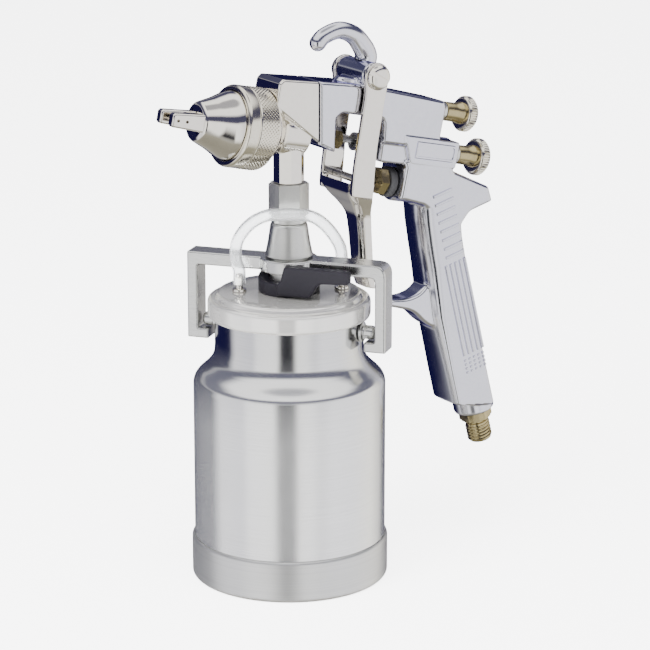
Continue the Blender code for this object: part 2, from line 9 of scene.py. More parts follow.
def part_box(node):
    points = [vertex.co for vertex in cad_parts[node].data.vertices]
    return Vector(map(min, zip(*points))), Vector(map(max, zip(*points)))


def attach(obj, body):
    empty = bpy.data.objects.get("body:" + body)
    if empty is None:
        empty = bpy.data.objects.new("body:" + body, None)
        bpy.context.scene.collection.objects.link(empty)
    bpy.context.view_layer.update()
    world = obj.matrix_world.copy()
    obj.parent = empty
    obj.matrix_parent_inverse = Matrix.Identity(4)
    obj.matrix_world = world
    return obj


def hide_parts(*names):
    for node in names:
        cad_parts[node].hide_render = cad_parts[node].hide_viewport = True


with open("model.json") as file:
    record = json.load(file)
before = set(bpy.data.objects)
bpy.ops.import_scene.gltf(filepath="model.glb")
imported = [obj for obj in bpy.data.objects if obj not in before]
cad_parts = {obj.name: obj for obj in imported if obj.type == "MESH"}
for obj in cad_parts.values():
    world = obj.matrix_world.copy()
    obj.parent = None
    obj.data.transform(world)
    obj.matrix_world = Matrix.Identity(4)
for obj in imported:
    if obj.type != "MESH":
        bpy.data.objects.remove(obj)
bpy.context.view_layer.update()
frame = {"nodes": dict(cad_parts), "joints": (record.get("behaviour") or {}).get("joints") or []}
print("frame loaded:", len(frame["nodes"]), "nodes")

# The shared frames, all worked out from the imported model. Pieces are drawn in millimetres.
joints = {joint["name"]: joint for joint in frame["joints"]}
millimetre = Matrix.Scale(0.001, 4)
ringJoint = joints["retaining_ring_turn"]
gunAlong = Vector(ringJoint["axis"])
gunStart = Vector(ringJoint["pos_m"]) - gunAlong * (ringJoint["pos_m"][0] / gunAlong.x)
gunFrame = Matrix.Translation(gunStart) @ Matrix.Rotation(atan2(-gunAlong.z, gunAlong.x), 4, "Y") @ millimetre
turnAlong = Matrix.Rotation(radians(90), 4, "Y")
turnAcross = Matrix.Rotation(radians(90), 4, "X")
studLow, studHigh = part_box("cup_stud_right")
studMid = (studLow + studHigh) / 2
yokeFrame = Matrix.Rotation(atan2(studMid.y, studMid.x), 4, "Z") @ millimetre
cupFrame = millimetre.copy()
inletFrame = gunFrame @ Matrix.Translation((144, 0, -125)) @ Matrix.Rotation(pi - radians(26.8), 4, "Y")
pivotAt = gunFrame.inverted() @ Vector(joints["trigger_pull"]["pos_m"])
pitch = atan2(-gunAlong.z, gunAlong.x)
valveRise, patternRise = -18.3, 21.3


def gunPoint(along, across, up):
    return gunFrame @ Matrix.Translation((along, across, up))


# ---- shader groups ----

def groupTree(name, ins, outs):
    tree = bpy.data.node_groups.new(name, "ShaderNodeTree")
    for label, kind, value in ins:
        made = tree.interface.new_socket(label, in_out="INPUT", socket_type=kind)
        made.default_value = value
    for label, kind in outs:
        tree.interface.new_socket(label, in_out="OUTPUT", socket_type=kind)
    return tree, tree.nodes.new("NodeGroupInput"), tree.nodes.new("NodeGroupOutput")


def addNode(tree, kind, inputs=None, **settings):
    node = tree.nodes.new(kind)
    for key, value in settings.items():
        setattr(node, key, value)
    for key, value in (inputs or {}).items():
        if isinstance(value, bpy.types.NodeSocket):
            tree.links.new(value, node.inputs[key])
        else:
            node.inputs[key].default_value = value
    return node


def makeGrainGroup():
    # Fine lines: noise squeezed by Stretch, so one long direction reads as brushing.
    tree, start, end = groupTree("brushedGrain", [("Stretch", "NodeSocketVector", (1, 1, 1)),
                                                  ("Scale", "NodeSocketFloat", 400.0)],
                                 [("Height", "NodeSocketFloat"), ("Tone", "NodeSocketFloat")])
    where = addNode(tree, "ShaderNodeTexCoord")
    squeezed = addNode(tree, "ShaderNodeVectorMath", {0: where.outputs["Object"], 1: start.outputs["Stretch"]},
                       operation="MULTIPLY")
    fine = addNode(tree, "ShaderNodeTexNoise", {"Vector": squeezed.outputs[0], "Scale": start.outputs["Scale"],
                                                "Detail": 3.0, "Roughness": 0.6})
    tone = addNode(tree, "ShaderNodeMapRange", {"Value": fine.outputs["Fac"], "From Min": 0.3, "From Max": 0.7})
    tree.links.new(fine.outputs["Fac"], end.inputs["Height"])
    tree.links.new(tone.outputs["Result"], end.inputs["Tone"])
    return tree


def makeTurnedGroup():
    # Rings round an axis, as a lathe leaves them: the noise reads height and radius, never the angle.
    tree, start, end = groupTree("turnedRings", [("Scale", "NodeSocketFloat", 900.0)],
                                 [("Height", "NodeSocketFloat"), ("Tone", "NodeSocketFloat")])
    where = addNode(tree, "ShaderNodeTexCoord")
    split = addNode(tree, "ShaderNodeSeparateXYZ", {0: where.outputs["Object"]})
    flat = addNode(tree, "ShaderNodeCombineXYZ", {0: split.outputs["X"], 1: split.outputs["Y"]})
    radius = addNode(tree, "ShaderNodeVectorMath", {0: flat.outputs[0]}, operation="LENGTH")
    place = addNode(tree, "ShaderNodeCombineXYZ", {0: radius.outputs["Value"], 1: split.outputs["Z"]})
    rings = addNode(tree, "ShaderNodeTexNoise", {"Vector": place.outputs[0], "Scale": start.outputs["Scale"],
                                                 "Detail": 2.0, "Roughness": 0.55})
    tone = addNode(tree, "ShaderNodeMapRange", {"Value": rings.outputs["Fac"], "From Min": 0.3, "From Max": 0.7})
    tree.links.new(rings.outputs["Fac"], end.inputs["Height"])
    tree.links.new(tone.outputs["Result"], end.inputs["Tone"])
    return tree


def makeHandledGroup():
    # Faint handling marks: broad smears and a scatter of fine specks.
    tree, start, end = groupTree("handledSkin", [("Smear", "NodeSocketFloat", 45.0),
                                                 ("Specks", "NodeSocketFloat", 700.0)],
                                 [("Smears", "NodeSocketFloat"), ("Speckle", "NodeSocketFloat")])
    where = addNode(tree, "ShaderNodeTexCoord")
    broad = addNode(tree, "ShaderNodeTexNoise", {"Vector": where.outputs["Object"],
                                                 "Scale": start.outputs["Smear"], "Detail": 4.0,
                                                 "Distortion": 0.6})
    smears = addNode(tree, "ShaderNodeMapRange", {"Value": broad.outputs["Fac"], "From Min": 0.35,
                                                  "From Max": 0.72})
    tiny = addNode(tree, "ShaderNodeTexVoronoi", {"Vector": where.outputs["Object"],
                                                  "Scale": start.outputs["Specks"]})
    speckle = addNode(tree, "ShaderNodeMapRange", {"Value": tiny.outputs["Distance"], "From Min": 0.02,
                                                   "From Max": 0.16, "To Min": 1.0, "To Max": 0.0})
    tree.links.new(smears.outputs["Result"], end.inputs["Smears"])
    tree.links.new(speckle.outputs["Result"], end.inputs["Speckle"])
    return tree


grainGroup = makeGrainGroup()
turnedGroup = makeTurnedGroup()
handledGroup = makeHandledGroup()


def finishMaterial(name, recipe):
    # One material: base colour varied by grain and smears, roughness between two values, a light bump.
    made = bpy.data.materials.new(name)
    made.use_nodes = True
    tree = made.node_tree
    shader = tree.nodes["Principled BSDF"]
    shader.inputs["Metallic"].default_value = recipe.get("metallic", 1.0)
    for label, value in recipe.get("shader", {}).items():
        shader.inputs[label].default_value = value
    kind = recipe.get("grain", "cast")
    if kind == "turned":
        grain = addNode(tree, "ShaderNodeGroup", node_tree=turnedGroup)
        grain.inputs["Scale"].default_value = recipe["scale"]
    else:
        grain = addNode(tree, "ShaderNodeGroup", node_tree=grainGroup)
        grain.inputs["Scale"].default_value = recipe["scale"]
        grain.inputs["Stretch"].default_value = recipe.get("stretch", (1, 1, 1))
    handled = addNode(tree, "ShaderNodeGroup", node_tree=handledGroup)
    handled.inputs["Smear"].default_value = recipe.get("smear", 45.0)
    dark = [c * recipe.get("shade", 0.86) for c in recipe["colour"]]
    tint = addNode(tree, "ShaderNodeMix", {0: grain.outputs["Tone"], 6: (*dark, 1), 7: (*recipe["colour"], 1)},
                   data_type="RGBA")
    soil = addNode(tree, "ShaderNodeMath", {0: handled.outputs["Smears"], 1: recipe.get("soil", 0.12)},
                   operation="MULTIPLY")
    worn = addNode(tree, "ShaderNodeMix", {0: soil.outputs[0], 6: tint.outputs[2],
                                           7: (*[c * 0.72 for c in recipe["colour"]], 1)}, data_type="RGBA")
    tree.links.new(worn.outputs[2], shader.inputs["Base Color"])
    low, high = recipe["rough"]
    blur = addNode(tree, "ShaderNodeMapRange", {"Value": handled.outputs["Smears"], "To Min": low, "To Max": high})
    rough = blur.outputs["Result"]
    if "polish" in recipe:
        # Polished with height: (start, end, share of the roughness left); the metal is bare at the end.
        where = addNode(tree, "ShaderNodeTexCoord")
        split = addNode(tree, "ShaderNodeSeparateXYZ", {0: where.outputs["Object"]})
        start, end, left = recipe["polish"]
        share = addNode(tree, "ShaderNodeMapRange", {"Value": split.outputs["Z"], "From Min": start,
                                                     "From Max": end, "To Min": 1.0, "To Max": left})
        rough = addNode(tree, "ShaderNodeMath", {0: rough, 1: share.outputs["Result"]},
                        operation="MULTIPLY").outputs[0]
        metal = addNode(tree, "ShaderNodeMapRange", {"Value": split.outputs["Z"], "From Min": start, "From Max": end,
                                                     "To Min": recipe["metallic"], "To Max": 1.0})
        tree.links.new(metal.outputs["Result"], shader.inputs["Metallic"])
    tree.links.new(rough, shader.inputs["Roughness"])
    speck = addNode(tree, "ShaderNodeMath", {0: handled.outputs["Speckle"], 1: -0.4}, operation="MULTIPLY")
    relief = addNode(tree, "ShaderNodeMath", {0: grain.outputs["Height"], 1: speck.outputs[0]}, operation="ADD")
    bump = addNode(tree, "ShaderNodeBump", {"Height": relief.outputs[0], "Strength": recipe.get("bump", 0.1),
                                            "Distance": recipe.get("depth", 0.0002)})
    tree.links.new(bump.outputs["Normal"], shader.inputs["Normal"])
    return made


finishes = {
    "satinCup": {"colour": (0.80, 0.80, 0.79), "metallic": 0.90, "rough": (0.17, 0.22), "grain": "turned",
                 "scale": 1500.0, "bump": 0.13, "shade": 0.93, "soil": 0.05, "polish": (0.085, 0.125, 0.8)},
    "cupBand": {"colour": (0.60, 0.60, 0.59), "metallic": 0.9, "rough": (0.28, 0.36), "grain": "turned",
                "scale": 1100.0, "bump": 0.14, "shade": 0.88, "soil": 0.08},
    "mirrorLid": {"colour": (0.70, 0.69, 0.66), "metallic": 0.72, "rough": (0.08, 0.16), "grain": "turned",
                  "scale": 700.0, "bump": 0.03, "shade": 0.95, "soil": 0.08},
    "castPost": {"colour": (0.72, 0.72, 0.68), "rough": (0.34, 0.46), "grain": "cast", "scale": 1800.0,
                 "bump": 0.12, "shade": 0.88},
    "tumbledNut": {"colour": (0.74, 0.74, 0.70), "rough": (0.42, 0.52), "grain": "cast", "scale": 2600.0,
                   "bump": 0.16, "shade": 0.88},
    "yokeSteel": {"colour": (0.70, 0.70, 0.68), "rough": (0.22, 0.32), "grain": "brushed", "scale": 260.0,
                  "stretch": (1, 1, 6), "bump": 0.06, "shade": 0.90},
    "blackCam": {"colour": (0.010, 0.009, 0.013), "metallic": 0.0, "rough": (0.36, 0.48),
                 "shader": {"Specular IOR Level": 0.25}, "grain": "cast",
                 "scale": 2200.0, "bump": 0.18, "shade": 0.7, "soil": 0.0},
    # The body's blue Specular Tint is painted reflection: it tints the grazing edges towards the navy of the
    # surroundings.
    "polishedBody": {"colour": (0.74, 0.74, 0.79), "rough": (0.12, 0.20), "grain": "cast", "scale": 650.0,
                     "bump": 0.035, "shade": 0.95, "soil": 0.06,
                     "shader": {"Specular Tint": (0.50, 0.48, 0.80, 1)}},
    "brightNickel": {"colour": (0.88, 0.84, 0.76), "rough": (0.07, 0.13), "grain": "cast", "scale": 500.0,
                     "bump": 0.03, "shade": 0.94, "soil": 0.06},
    "turnedNickel": {"colour": (0.84, 0.79, 0.66), "rough": (0.12, 0.20), "grain": "turned", "scale": 900.0,
                     "bump": 0.06, "shade": 0.90, "soil": 0.10},
    "warmBrass": {"colour": (0.50, 0.42, 0.22), "rough": (0.20, 0.30), "grain": "cast", "scale": 1500.0,
                  "bump": 0.08, "shade": 0.82, "soil": 0.20},
    "drawnSteel": {"colour": (0.62, 0.62, 0.63), "rough": (0.24, 0.34), "grain": "brushed", "scale": 500.0,
                   "stretch": (0.2, 1, 1), "bump": 0.06},
    "sealRubber": {"colour": (0.028, 0.028, 0.030), "metallic": 0.0, "rough": (0.55, 0.70), "grain": "cast",
                   "scale": 2400.0, "bump": 0.2, "shade": 0.8, "soil": 0.0},
    "frostedTube": {"colour": (0.95, 0.96, 0.97), "metallic": 0.0, "rough": (0.16, 0.26), "grain": "cast",
                    "scale": 400.0, "bump": 0.05, "shade": 0.97, "soil": 0.0,
                    "shader": {"Transmission Weight": 0.88, "IOR": 1.42}},
}
looks = {name: finishMaterial(name, recipe) for name, recipe in finishes.items()}
print("materials made:", len(looks))


# ---- mesh tools ----

def ease(points, radius=0.4, steps=3):
    # Rounds each corner of a closed outline; a third number on a point is its own radius.
    made = []
    count = len(points)
    for k, point in enumerate(points):
        here = Vector(point[:2])
        before, after = Vector(points[k - 1][:2]), Vector(points[(k + 1) % count][:2])
        want = point[2] if len(point) > 2 else radius
        reach = min(want, 0.45 * (before - here).length, 0.45 * (after - here).length)
        if reach < 0.01 or here.x < 1e-6:
            made.append(tuple(here))
            continue
        first = here + (before - here).normalized() * reach
        last = here + (after - here).normalized() * reach
        for j in range(steps + 1):
            t = j / steps
            made.append(tuple(first * (1 - t) ** 2 + here * 2 * t * (1 - t) + last * t ** 2))
    return made


def revolve(points, sides=96):
    # Turns a closed (radius, height) outline about Z.
    mesh = bmesh.new()
    rings = []
    for r, h in [point[:2] for point in points]:
        if r < 1e-6:
            rings.append([mesh.verts.new((0, 0, h))] * sides)
        else:
            rings.append([mesh.verts.new((r * cos(2 * pi * k / sides), r * sin(2 * pi * k / sides), h))
                          for k in range(sides)])
    for low, high in zip(rings, rings[1:] + rings[:1]):
        for k in range(sides):
            corners = []
            for vert in (low[k], low[(k + 1) % sides], high[(k + 1) % sides], high[k]):
                if vert not in corners:
                    corners.append(vert)
            if len(corners) > 2:
                mesh.faces.new(corners)
    return mesh


def slab(shape, low, high, rounding=0.0, steps=5):
    # Extrudes an (along, up) outline across Y and rounds both long edges. A corner tighter than the rounding
    # is left sharp, because it would turn inside out on the way in.
    kept = [point if len(point) > 2 and point[2] > rounding + 0.15 else (*point[:2], 0) for point in shape]
    outline = ease(kept, 0.0, 5)
    mesh = bmesh.new()
    face = mesh.faces.new([mesh.verts.new((p[0], low + rounding, p[1])) for p in outline])
    grown = bmesh.ops.extrude_face_region(mesh, geom=[face])["geom"]
    moved = [part for part in grown if isinstance(part, bmesh.types.BMVert)]
    bmesh.ops.translate(mesh, vec=(0, high - low - 2 * rounding, 0), verts=moved)
    bmesh.ops.recalc_face_normals(mesh, faces=mesh.faces)
    if rounding:
        caps = [f for f in mesh.faces if abs(f.normal.y) > 0.9]
        for k in range(steps):
            near, far = k / steps * pi / 2, (k + 1) / steps * pi / 2
            bmesh.ops.inset_region(mesh, faces=caps, use_even_offset=True,
                                   thickness=rounding * (cos(near) - cos(far)),
                                   depth=rounding * (sin(far) - sin(near)))
    return mesh


def bridge(mesh, loops):
    # Joins each loop of vertices to the next with a strip of faces.
    for a, b in zip(loops, loops[1:]):
        for k in range(len(a)):
            j = (k + 1) % len(a)
            mesh.faces.new([a[k], a[j], b[j], b[k]])


def capped(mesh, loops):
    bridge(mesh, loops)
    mesh.faces.new(loops[0])
    mesh.faces.new(loops[-1])
    return mesh


def curveWeights(t):
    return (-0.5 * t + t * t - 0.5 * t ** 3, 1 - 2.5 * t * t + 1.5 * t ** 3,
            0.5 * t + 2 * t * t - 1.5 * t ** 3, -0.5 * t * t + 0.5 * t ** 3)


def prismBar(flats, low, high, sides=6, chamfer=0.6, bore=0.0):
    # A hex or octagon bar whose corners are cut by a cone at each end.
    corner = flats / 2 / cos(pi / sides)
    flat = corner - chamfer
    mesh = bmesh.new()
    loops = []
    steps = 8
    heights = [(low, 0), (low + chamfer * 0.6, 1), (high - chamfer * 0.6, 1), (high, 0)]
    total = sides * steps
    for height, full in heights:
        loop = []
        for k in range(total):
            angle = 2 * pi * k / total
            share = (k % steps) / steps
            edge = flats / 2 / cos(pi / sides * (abs(share - 0.5) * 2))
            reach = edge if full else min(edge, flat)
            loop.append(mesh.verts.new((reach * cos(angle + pi / sides), reach * sin(angle + pi / sides), height)))
        loops.append(loop)
    if bore:
        for height in (high, low):
            loops.append([mesh.verts.new((bore * cos(2 * pi * k / total + pi / sides),
                                          bore * sin(2 * pi * k / total + pi / sides), height))
                          for k in range(total)])
        loops.append(loops[0])
    else:
        mesh.faces.new(loops[0])
        mesh.faces.new(loops[-1])
    bridge(mesh, loops)
    return mesh


def moved(mesh, matrix):
    bmesh.ops.transform(mesh, matrix=matrix, verts=mesh.verts)
    return mesh


def merged(meshes):
    # Several meshes as one, their shells left apart.
    whole = bmesh.new()
    for mesh in meshes:
        holder = bpy.data.meshes.new("holder")
        mesh.to_mesh(holder)
        mesh.free()
        whole.from_mesh(holder)
        bpy.data.meshes.remove(holder)
    return whole


def splinePoints(route, radii, gap=0.7):
    # A smooth curve through the route's points, with its radius at each step.
    made = []
    count = len(route)
    for k in range(count - 1):
        p = [Vector(route[max(0, min(count - 1, k + j))]) for j in (-1, 0, 1, 2)]
        r = [radii[max(0, min(count - 1, k + j))] for j in (-1, 0, 1, 2)]
        steps = max(2, round((p[2] - p[1]).length / gap))
        for j in range(steps):
            t = j / steps
            w = curveWeights(t)
            made.append((sum((q * u for q, u in zip(p, w)), Vector()), sum(q * u for q, u in zip(r, w))))
    made.append((Vector(route[-1]), radii[-1]))
    return made


def sweep(points, sides=24, squash=1.0, hollow=0.0, domes=(False, False)):
    # A round bar along (point, radius) steps; hollow is a wall thickness, domes round off the ends.
    path = list(points)
    for end, wanted in ((0, domes[0]), (-1, domes[1])):
        if not wanted:
            continue
        tip, radius = path[end]
        inner = path[1][0] if end == 0 else path[-2][0]
        out = (tip - inner).normalized()
        cap = [(tip + out * radius * sin(a), max(radius * cos(a), 0.02))
               for a in [radians(15 * j) for j in range(1, 7)]]
        path = cap[::-1] + path if end == 0 else path + cap
    mesh = bmesh.new()
    side = Vector((0, 1, 0))
    loops, inners = [], []
    for k, (at, radius) in enumerate(path):
        ahead = (path[min(k + 1, len(path) - 1)][0] - path[max(k - 1, 0)][0]).normalized()
        side = (side - ahead * side.dot(ahead)).normalized()
        other = ahead.cross(side)
        spots = [(cos(2 * pi * j / sides), sin(2 * pi * j / sides)) for j in range(sides)]
        loops.append([mesh.verts.new(at + side * (c * radius * squash) + other * (s * radius)) for c, s in spots])
        if hollow:
            thin = radius - hollow
            inners.append([mesh.verts.new(at + side * (c * thin) + other * (s * thin)) for c, s in spots])
    bridge(mesh, loops)
    if hollow:
        bridge(mesh, inners)
        bridge(mesh, [loops[0], inners[0]])
        bridge(mesh, [loops[-1], inners[-1]])
    else:
        mesh.faces.new(loops[0])
        mesh.faces.new(loops[-1])
    return mesh


def rawObject(name, mesh):
    data = bpy.data.meshes.new(name)
    bmesh.ops.recalc_face_normals(mesh, faces=mesh.faces)
    mesh.to_mesh(data)
    mesh.free()
    ob = bpy.data.objects.new(name, data)
    bpy.context.scene.collection.objects.link(ob)
    return ob


def frozen(ob):
    # The object with its modifiers turned into plain mesh.
    seen = ob.evaluated_get(bpy.context.evaluated_depsgraph_get())
    data = bpy.data.meshes.new_from_object(seen)
    old = ob.data
    ob.modifiers.clear()
    ob.data = data
    bpy.data.meshes.remove(old)
    return ob


def solidify(name, parts, cutters=(), voxel=0.5, smooth=6):
    # Fuses solids by a voxel remesh, which gives every joint a small cast fillet, then cuts others away.
    base = rawObject(name, merged(parts) if voxel else parts[0])
    if voxel:
        cells = base.modifiers.new("cells", "REMESH")
        cells.mode, cells.voxel_size, cells.use_smooth_shade = "VOXEL", voxel, True
        soft = base.modifiers.new("soft", "SMOOTH")
        soft.factor, soft.iterations = 0.5, smooth
        frozen(base)
    helpers = []
    others = [("UNION", mesh) for mesh in ([] if voxel else parts[1:])] + [("DIFFERENCE", c) for c in cutters]
    for operation, mesh in others:
        other = rawObject("tool", mesh)
        helpers.append(other)
        step = base.modifiers.new("step", "BOOLEAN")
        step.operation, step.solver, step.object = operation, "EXACT", other
    frozen(base)
    for other in helpers:
        bpy.data.objects.remove(other)
    mesh = bmesh.new()
    mesh.from_mesh(base.data)
    bpy.data.objects.remove(base)
    return mesh


def piece(name, mesh, place, look, body, nodes=(), angle=32):
    # Puts a millimetre mesh where it belongs, with its finish, its body and the nodes it stands for.
    moved(mesh, place)
    bmesh.ops.recalc_face_normals(mesh, faces=mesh.faces)
    data = bpy.data.meshes.new(name)
    mesh.to_mesh(data)
    mesh.free()
    data.materials.append(looks[look])
    data.shade_smooth()
    if angle:
        data.set_sharp_from_angle(angle=radians(angle))
    ob = bpy.data.objects.new(name, data)
    bpy.context.scene.collection.objects.link(ob)
    return claim(ob, body, nodes)


def claim(ob, body, nodes):
    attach(ob, body)
    if nodes:
        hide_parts(*nodes)
    return ob


def helix(radius, wire, low, high, pitchStep, sides=8):
    # A screw thread's crest, faded in and out at its ends.
    steps = 28
    total = int((high - low) / pitchStep * steps)
    points = []
    for k in range(total + 1):
        angle = 2 * pi * k / steps
        fade = min(1.0, k / 10, (total - k) / 10)
        reach = radius - wire * (1 - fade)
        points.append((Vector((reach * cos(angle), reach * sin(angle), low + (high - low) * k / total)), wire))
    return sweep(points, sides)


def loft(stations, half, sides=40):
    # A handle from (front, back, front rounding, back rounding) stations, each front and back an (along, up) pair.
    mesh = bmesh.new()
    loops = []
    for front, back, nose, heel in stations:
        a, b = Vector(front), Vector(back)
        depth = (b - a).length
        outline = []
        for k in range(sides + 1):
            t = pi * k / sides - pi / 2
            nosePoint = (nose * (1 - abs(cos(t)) ** 0.8), half * (1 if t > 0 else -1) * abs(sin(t)) ** 0.8)
            outline.append(nosePoint)
        for k in range(7):
            t = pi / 2 * k / 6
            outline.append((depth - heel + heel * sin(t), half - heel + heel * cos(t)))
        for k in range(7):
            t = pi / 2 * k / 6
            outline.append((depth - heel + heel * cos(t), -half + heel - heel * sin(t)))
        loop = []
        for d, y in outline:
            at = a + (b - a) * (d / depth)
            loop.append(mesh.verts.new((at.x, y, at.y)))
        loops.append(loop)
    capped(mesh, loops)
    bmesh.ops.recalc_face_normals(mesh, faces=mesh.faces)
    return mesh


# ---- repeated details, laid out by Geometry Nodes ----

def layoutTree(name, ins):
    tree = bpy.data.node_groups.new(name, "GeometryNodeTree")
    tree.interface.new_socket("Geometry", in_out="INPUT", socket_type="NodeSocketGeometry")
    ids = {label: tree.interface.new_socket(label, in_out="INPUT", socket_type=kind).identifier
           for label, kind in ins}
    tree.interface.new_socket("Geometry", in_out="OUTPUT", socket_type="NodeSocketGeometry")
    return tree, ids, tree.nodes.new("NodeGroupInput"), tree.nodes.new("NodeGroupOutput")


def sums(tree, operation, first, second=0.0):
    return addNode(tree, "ShaderNodeMath", {0: first, 1: second}, operation=operation).outputs[0]


def closeTree(tree, start, end, points, turn):
    # Puts the unit on every point, makes it real and gives it its finish.
    unit = addNode(tree, "GeometryNodeObjectInfo", {"Object": start.outputs["Unit"]})
    spread = addNode(tree, "GeometryNodeInstanceOnPoints", {"Points": points, "Instance": unit.outputs["Geometry"],
                                                            "Rotation": turn})
    real = addNode(tree, "GeometryNodeRealizeInstances", {"Geometry": spread.outputs["Instances"]})
    dressed = addNode(tree, "GeometryNodeSetMaterial", {"Geometry": real.outputs["Geometry"],
                                                        "Material": start.outputs["Finish"]})
    tree.links.new(dressed.outputs["Geometry"], end.inputs["Geometry"])


def makeRoundLayout():
    # Rows of units round an axis, each row shifted by Stagger of one step.
    tree, ids, start, end = layoutTree("roundLayout", [
        ("Unit", "NodeSocketObject"), ("Finish", "NodeSocketMaterial"), ("Around", "NodeSocketInt"),
        ("Rows", "NodeSocketInt"), ("Radius", "NodeSocketFloat"), ("Low", "NodeSocketFloat"),
        ("Rise", "NodeSocketFloat"), ("Stagger", "NodeSocketFloat")])
    index = addNode(tree, "GeometryNodeInputIndex").outputs[0]
    around = start.outputs["Around"]
    row = sums(tree, "FLOOR", sums(tree, "DIVIDE", index, around))
    odd = sums(tree, "MULTIPLY", sums(tree, "MODULO", row, 2.0), start.outputs["Stagger"])
    place = sums(tree, "ADD", sums(tree, "MODULO", index, around), odd)
    angle = sums(tree, "MULTIPLY", sums(tree, "DIVIDE", place, around), 2 * pi)
    radius = start.outputs["Radius"]
    at = addNode(tree, "ShaderNodeCombineXYZ", {
        0: sums(tree, "MULTIPLY", sums(tree, "COSINE", angle), radius),
        1: sums(tree, "MULTIPLY", sums(tree, "SINE", angle), radius),
        2: sums(tree, "ADD", sums(tree, "MULTIPLY", row, start.outputs["Rise"]), start.outputs["Low"])})
    turn = addNode(tree, "ShaderNodeCombineXYZ", {2: angle})
    points = addNode(tree, "GeometryNodePoints", {"Count": sums(tree, "MULTIPLY", around, start.outputs["Rows"]),
                                                  "Position": at.outputs[0]})
    closeTree(tree, start, end, points.outputs[0], turn.outputs[0])
    return tree, ids


def makeFlatLayout():
    # Units in rows on a flat: Across steps along one vector, then Rows along another.
    tree, ids, start, end = layoutTree("flatLayout", [
        ("Unit", "NodeSocketObject"), ("Finish", "NodeSocketMaterial"), ("Across", "NodeSocketInt"),
        ("Rows", "NodeSocketInt"), ("Corner", "NodeSocketVector"), ("Step", "NodeSocketVector"),
        ("RowStep", "NodeSocketVector"), ("Turn", "NodeSocketVector")])
    index = addNode(tree, "GeometryNodeInputIndex").outputs[0]
    across = start.outputs["Across"]
    row = sums(tree, "FLOOR", sums(tree, "DIVIDE", index, across))
    column = sums(tree, "MODULO", index, across)
    first = addNode(tree, "ShaderNodeVectorMath", {0: start.outputs["Step"], "Scale": column}, operation="SCALE")
    second = addNode(tree, "ShaderNodeVectorMath", {0: start.outputs["RowStep"], "Scale": row}, operation="SCALE")
    both = addNode(tree, "ShaderNodeVectorMath", {0: first.outputs[0], 1: second.outputs[0]}, operation="ADD")
    at = addNode(tree, "ShaderNodeVectorMath", {0: both.outputs[0], 1: start.outputs["Corner"]}, operation="ADD")
    points = addNode(tree, "GeometryNodePoints", {"Count": sums(tree, "MULTIPLY", across, start.outputs["Rows"]),
                                                  "Position": at.outputs[0]})
    closeTree(tree, start, end, points.outputs[0], start.outputs["Turn"])
    return tree, ids


roundLayout = makeRoundLayout()
flatLayout = makeFlatLayout()


def layout(trees, unit, look, values):
    # The laid-out units as one millimetre mesh.
    tree, ids = trees
    source = rawObject("unit", unit)
    holder = bpy.data.objects.new("holder", bpy.data.meshes.new("holder"))
    bpy.context.scene.collection.objects.link(holder)
    step = holder.modifiers.new("layout", "NODES")
    step.node_group = tree
    step[ids["Unit"]] = source
    step[ids["Finish"]] = looks[look]
    for label, value in values.items():
        step[ids[label]] = value
    frozen(holder)
    mesh = bmesh.new()
    mesh.from_mesh(holder.data)
    bpy.data.objects.remove(holder)
    bpy.data.objects.remove(source)
    return mesh


def pyramid(high, tangent, axial):
    # A knurl's diamond: its point looks out along X.
    mesh = bmesh.new()
    tip = mesh.verts.new((high, 0, 0))
    ring = [mesh.verts.new(p) for p in ((-0.15, tangent, 0), (-0.15, 0, axial), (-0.15, -tangent, 0),
                                        (-0.15, 0, -axial))]
    for k in range(4):
        mesh.faces.new([ring[k], ring[(k + 1) % 4], tip])
    mesh.faces.new(ring[::-1])
    return mesh


def ridge(high, tangent, length):
    # A straight knurl's tooth, its crest along Z.
    mesh = bmesh.new()
    half = length / 2
    rows = []
    for z, lift in ((-half, 0.3), (-half + 0.4, 1.0), (half - 0.4, 1.0), (half, 0.3)):
        rows.append([mesh.verts.new((-0.15, tangent, z)), mesh.verts.new((high * lift, 0, z)),
                     mesh.verts.new((-0.15, -tangent, z))])
    return capped(mesh, rows)


def pad(length, width, high):
    # A raised bar with sloping sides on the XZ plane, standing up along -Y, its length along Z.
    mesh = bmesh.new()
    layers = []
    for out, lift in ((0.0, -0.3), (0.0, 0.0), (0.32, high * 0.9), (0.45, high)):
        a, b = width / 2 - out, length / 2 - out
        corner = min(a, b) * 0.5
        spots = ease([(a, b, corner), (-a, b, corner), (-a, -b, corner), (a, -b, corner)], steps=3)
        layers.append([mesh.verts.new((x, -lift, z)) for x, z in spots])
    return capped(mesh, layers)


print("tools ready")


# ---- cup ----

cup = {"outer": [(46.3, 1.5), (48.8, 1.6, 2.2), (48.8, 102.5, 1.0), (48.0, 105.2, 2.2),
                              (45.9, 107.6, 2), (42.6, 110.4, 3), (39.6, 114.0, 2.5), (38.1, 117.5, 2.5),
                              (37.7, 121.0, 2), (37.7, 141.2, 0.8)],
       "inner": [(35.7, 141.2, 0.8), (35.7, 120.6, 2), (37.0, 116.0, 3), (41.0, 109.0, 3), (46.8, 103.2, 2),
                 (46.8, 5.0, 3), (45.0, 3.6, 1), (0, 3.6), (0, 1.5)]}
piece("cupShell", revolve(ease(cup["outer"] + cup["inner"], 0.6, 6), 160), cupFrame, "satinCup", "gun",
      ["cup_shell"])
band = {"profile": [(0, 0), (48.9, 0, 1.2), (50.2, 1.4, 1.2), (50.2, 20.4, 0.9), (49.4, 21.6, 0.5),
                    (48.95, 21.6, 0.1), (48.95, 1.2, 0.2), (46.0, 1.2, 0.2), (0, 1.2)]}
piece("cupBand", revolve(ease(band["profile"], 0.3, 4), 160), cupFrame, "cupBand", "gun", ["base_band"])
stud = [(0, 0), (5.2, 0, 0.4), (5.2, 1.5, 0.5), (3.7, 1.8, 0.5), (3.5, 2.6, 0.2), (3.5, 6.6, 1.0), (2.6, 7.8, 0.8),
        (0, 7.9)]
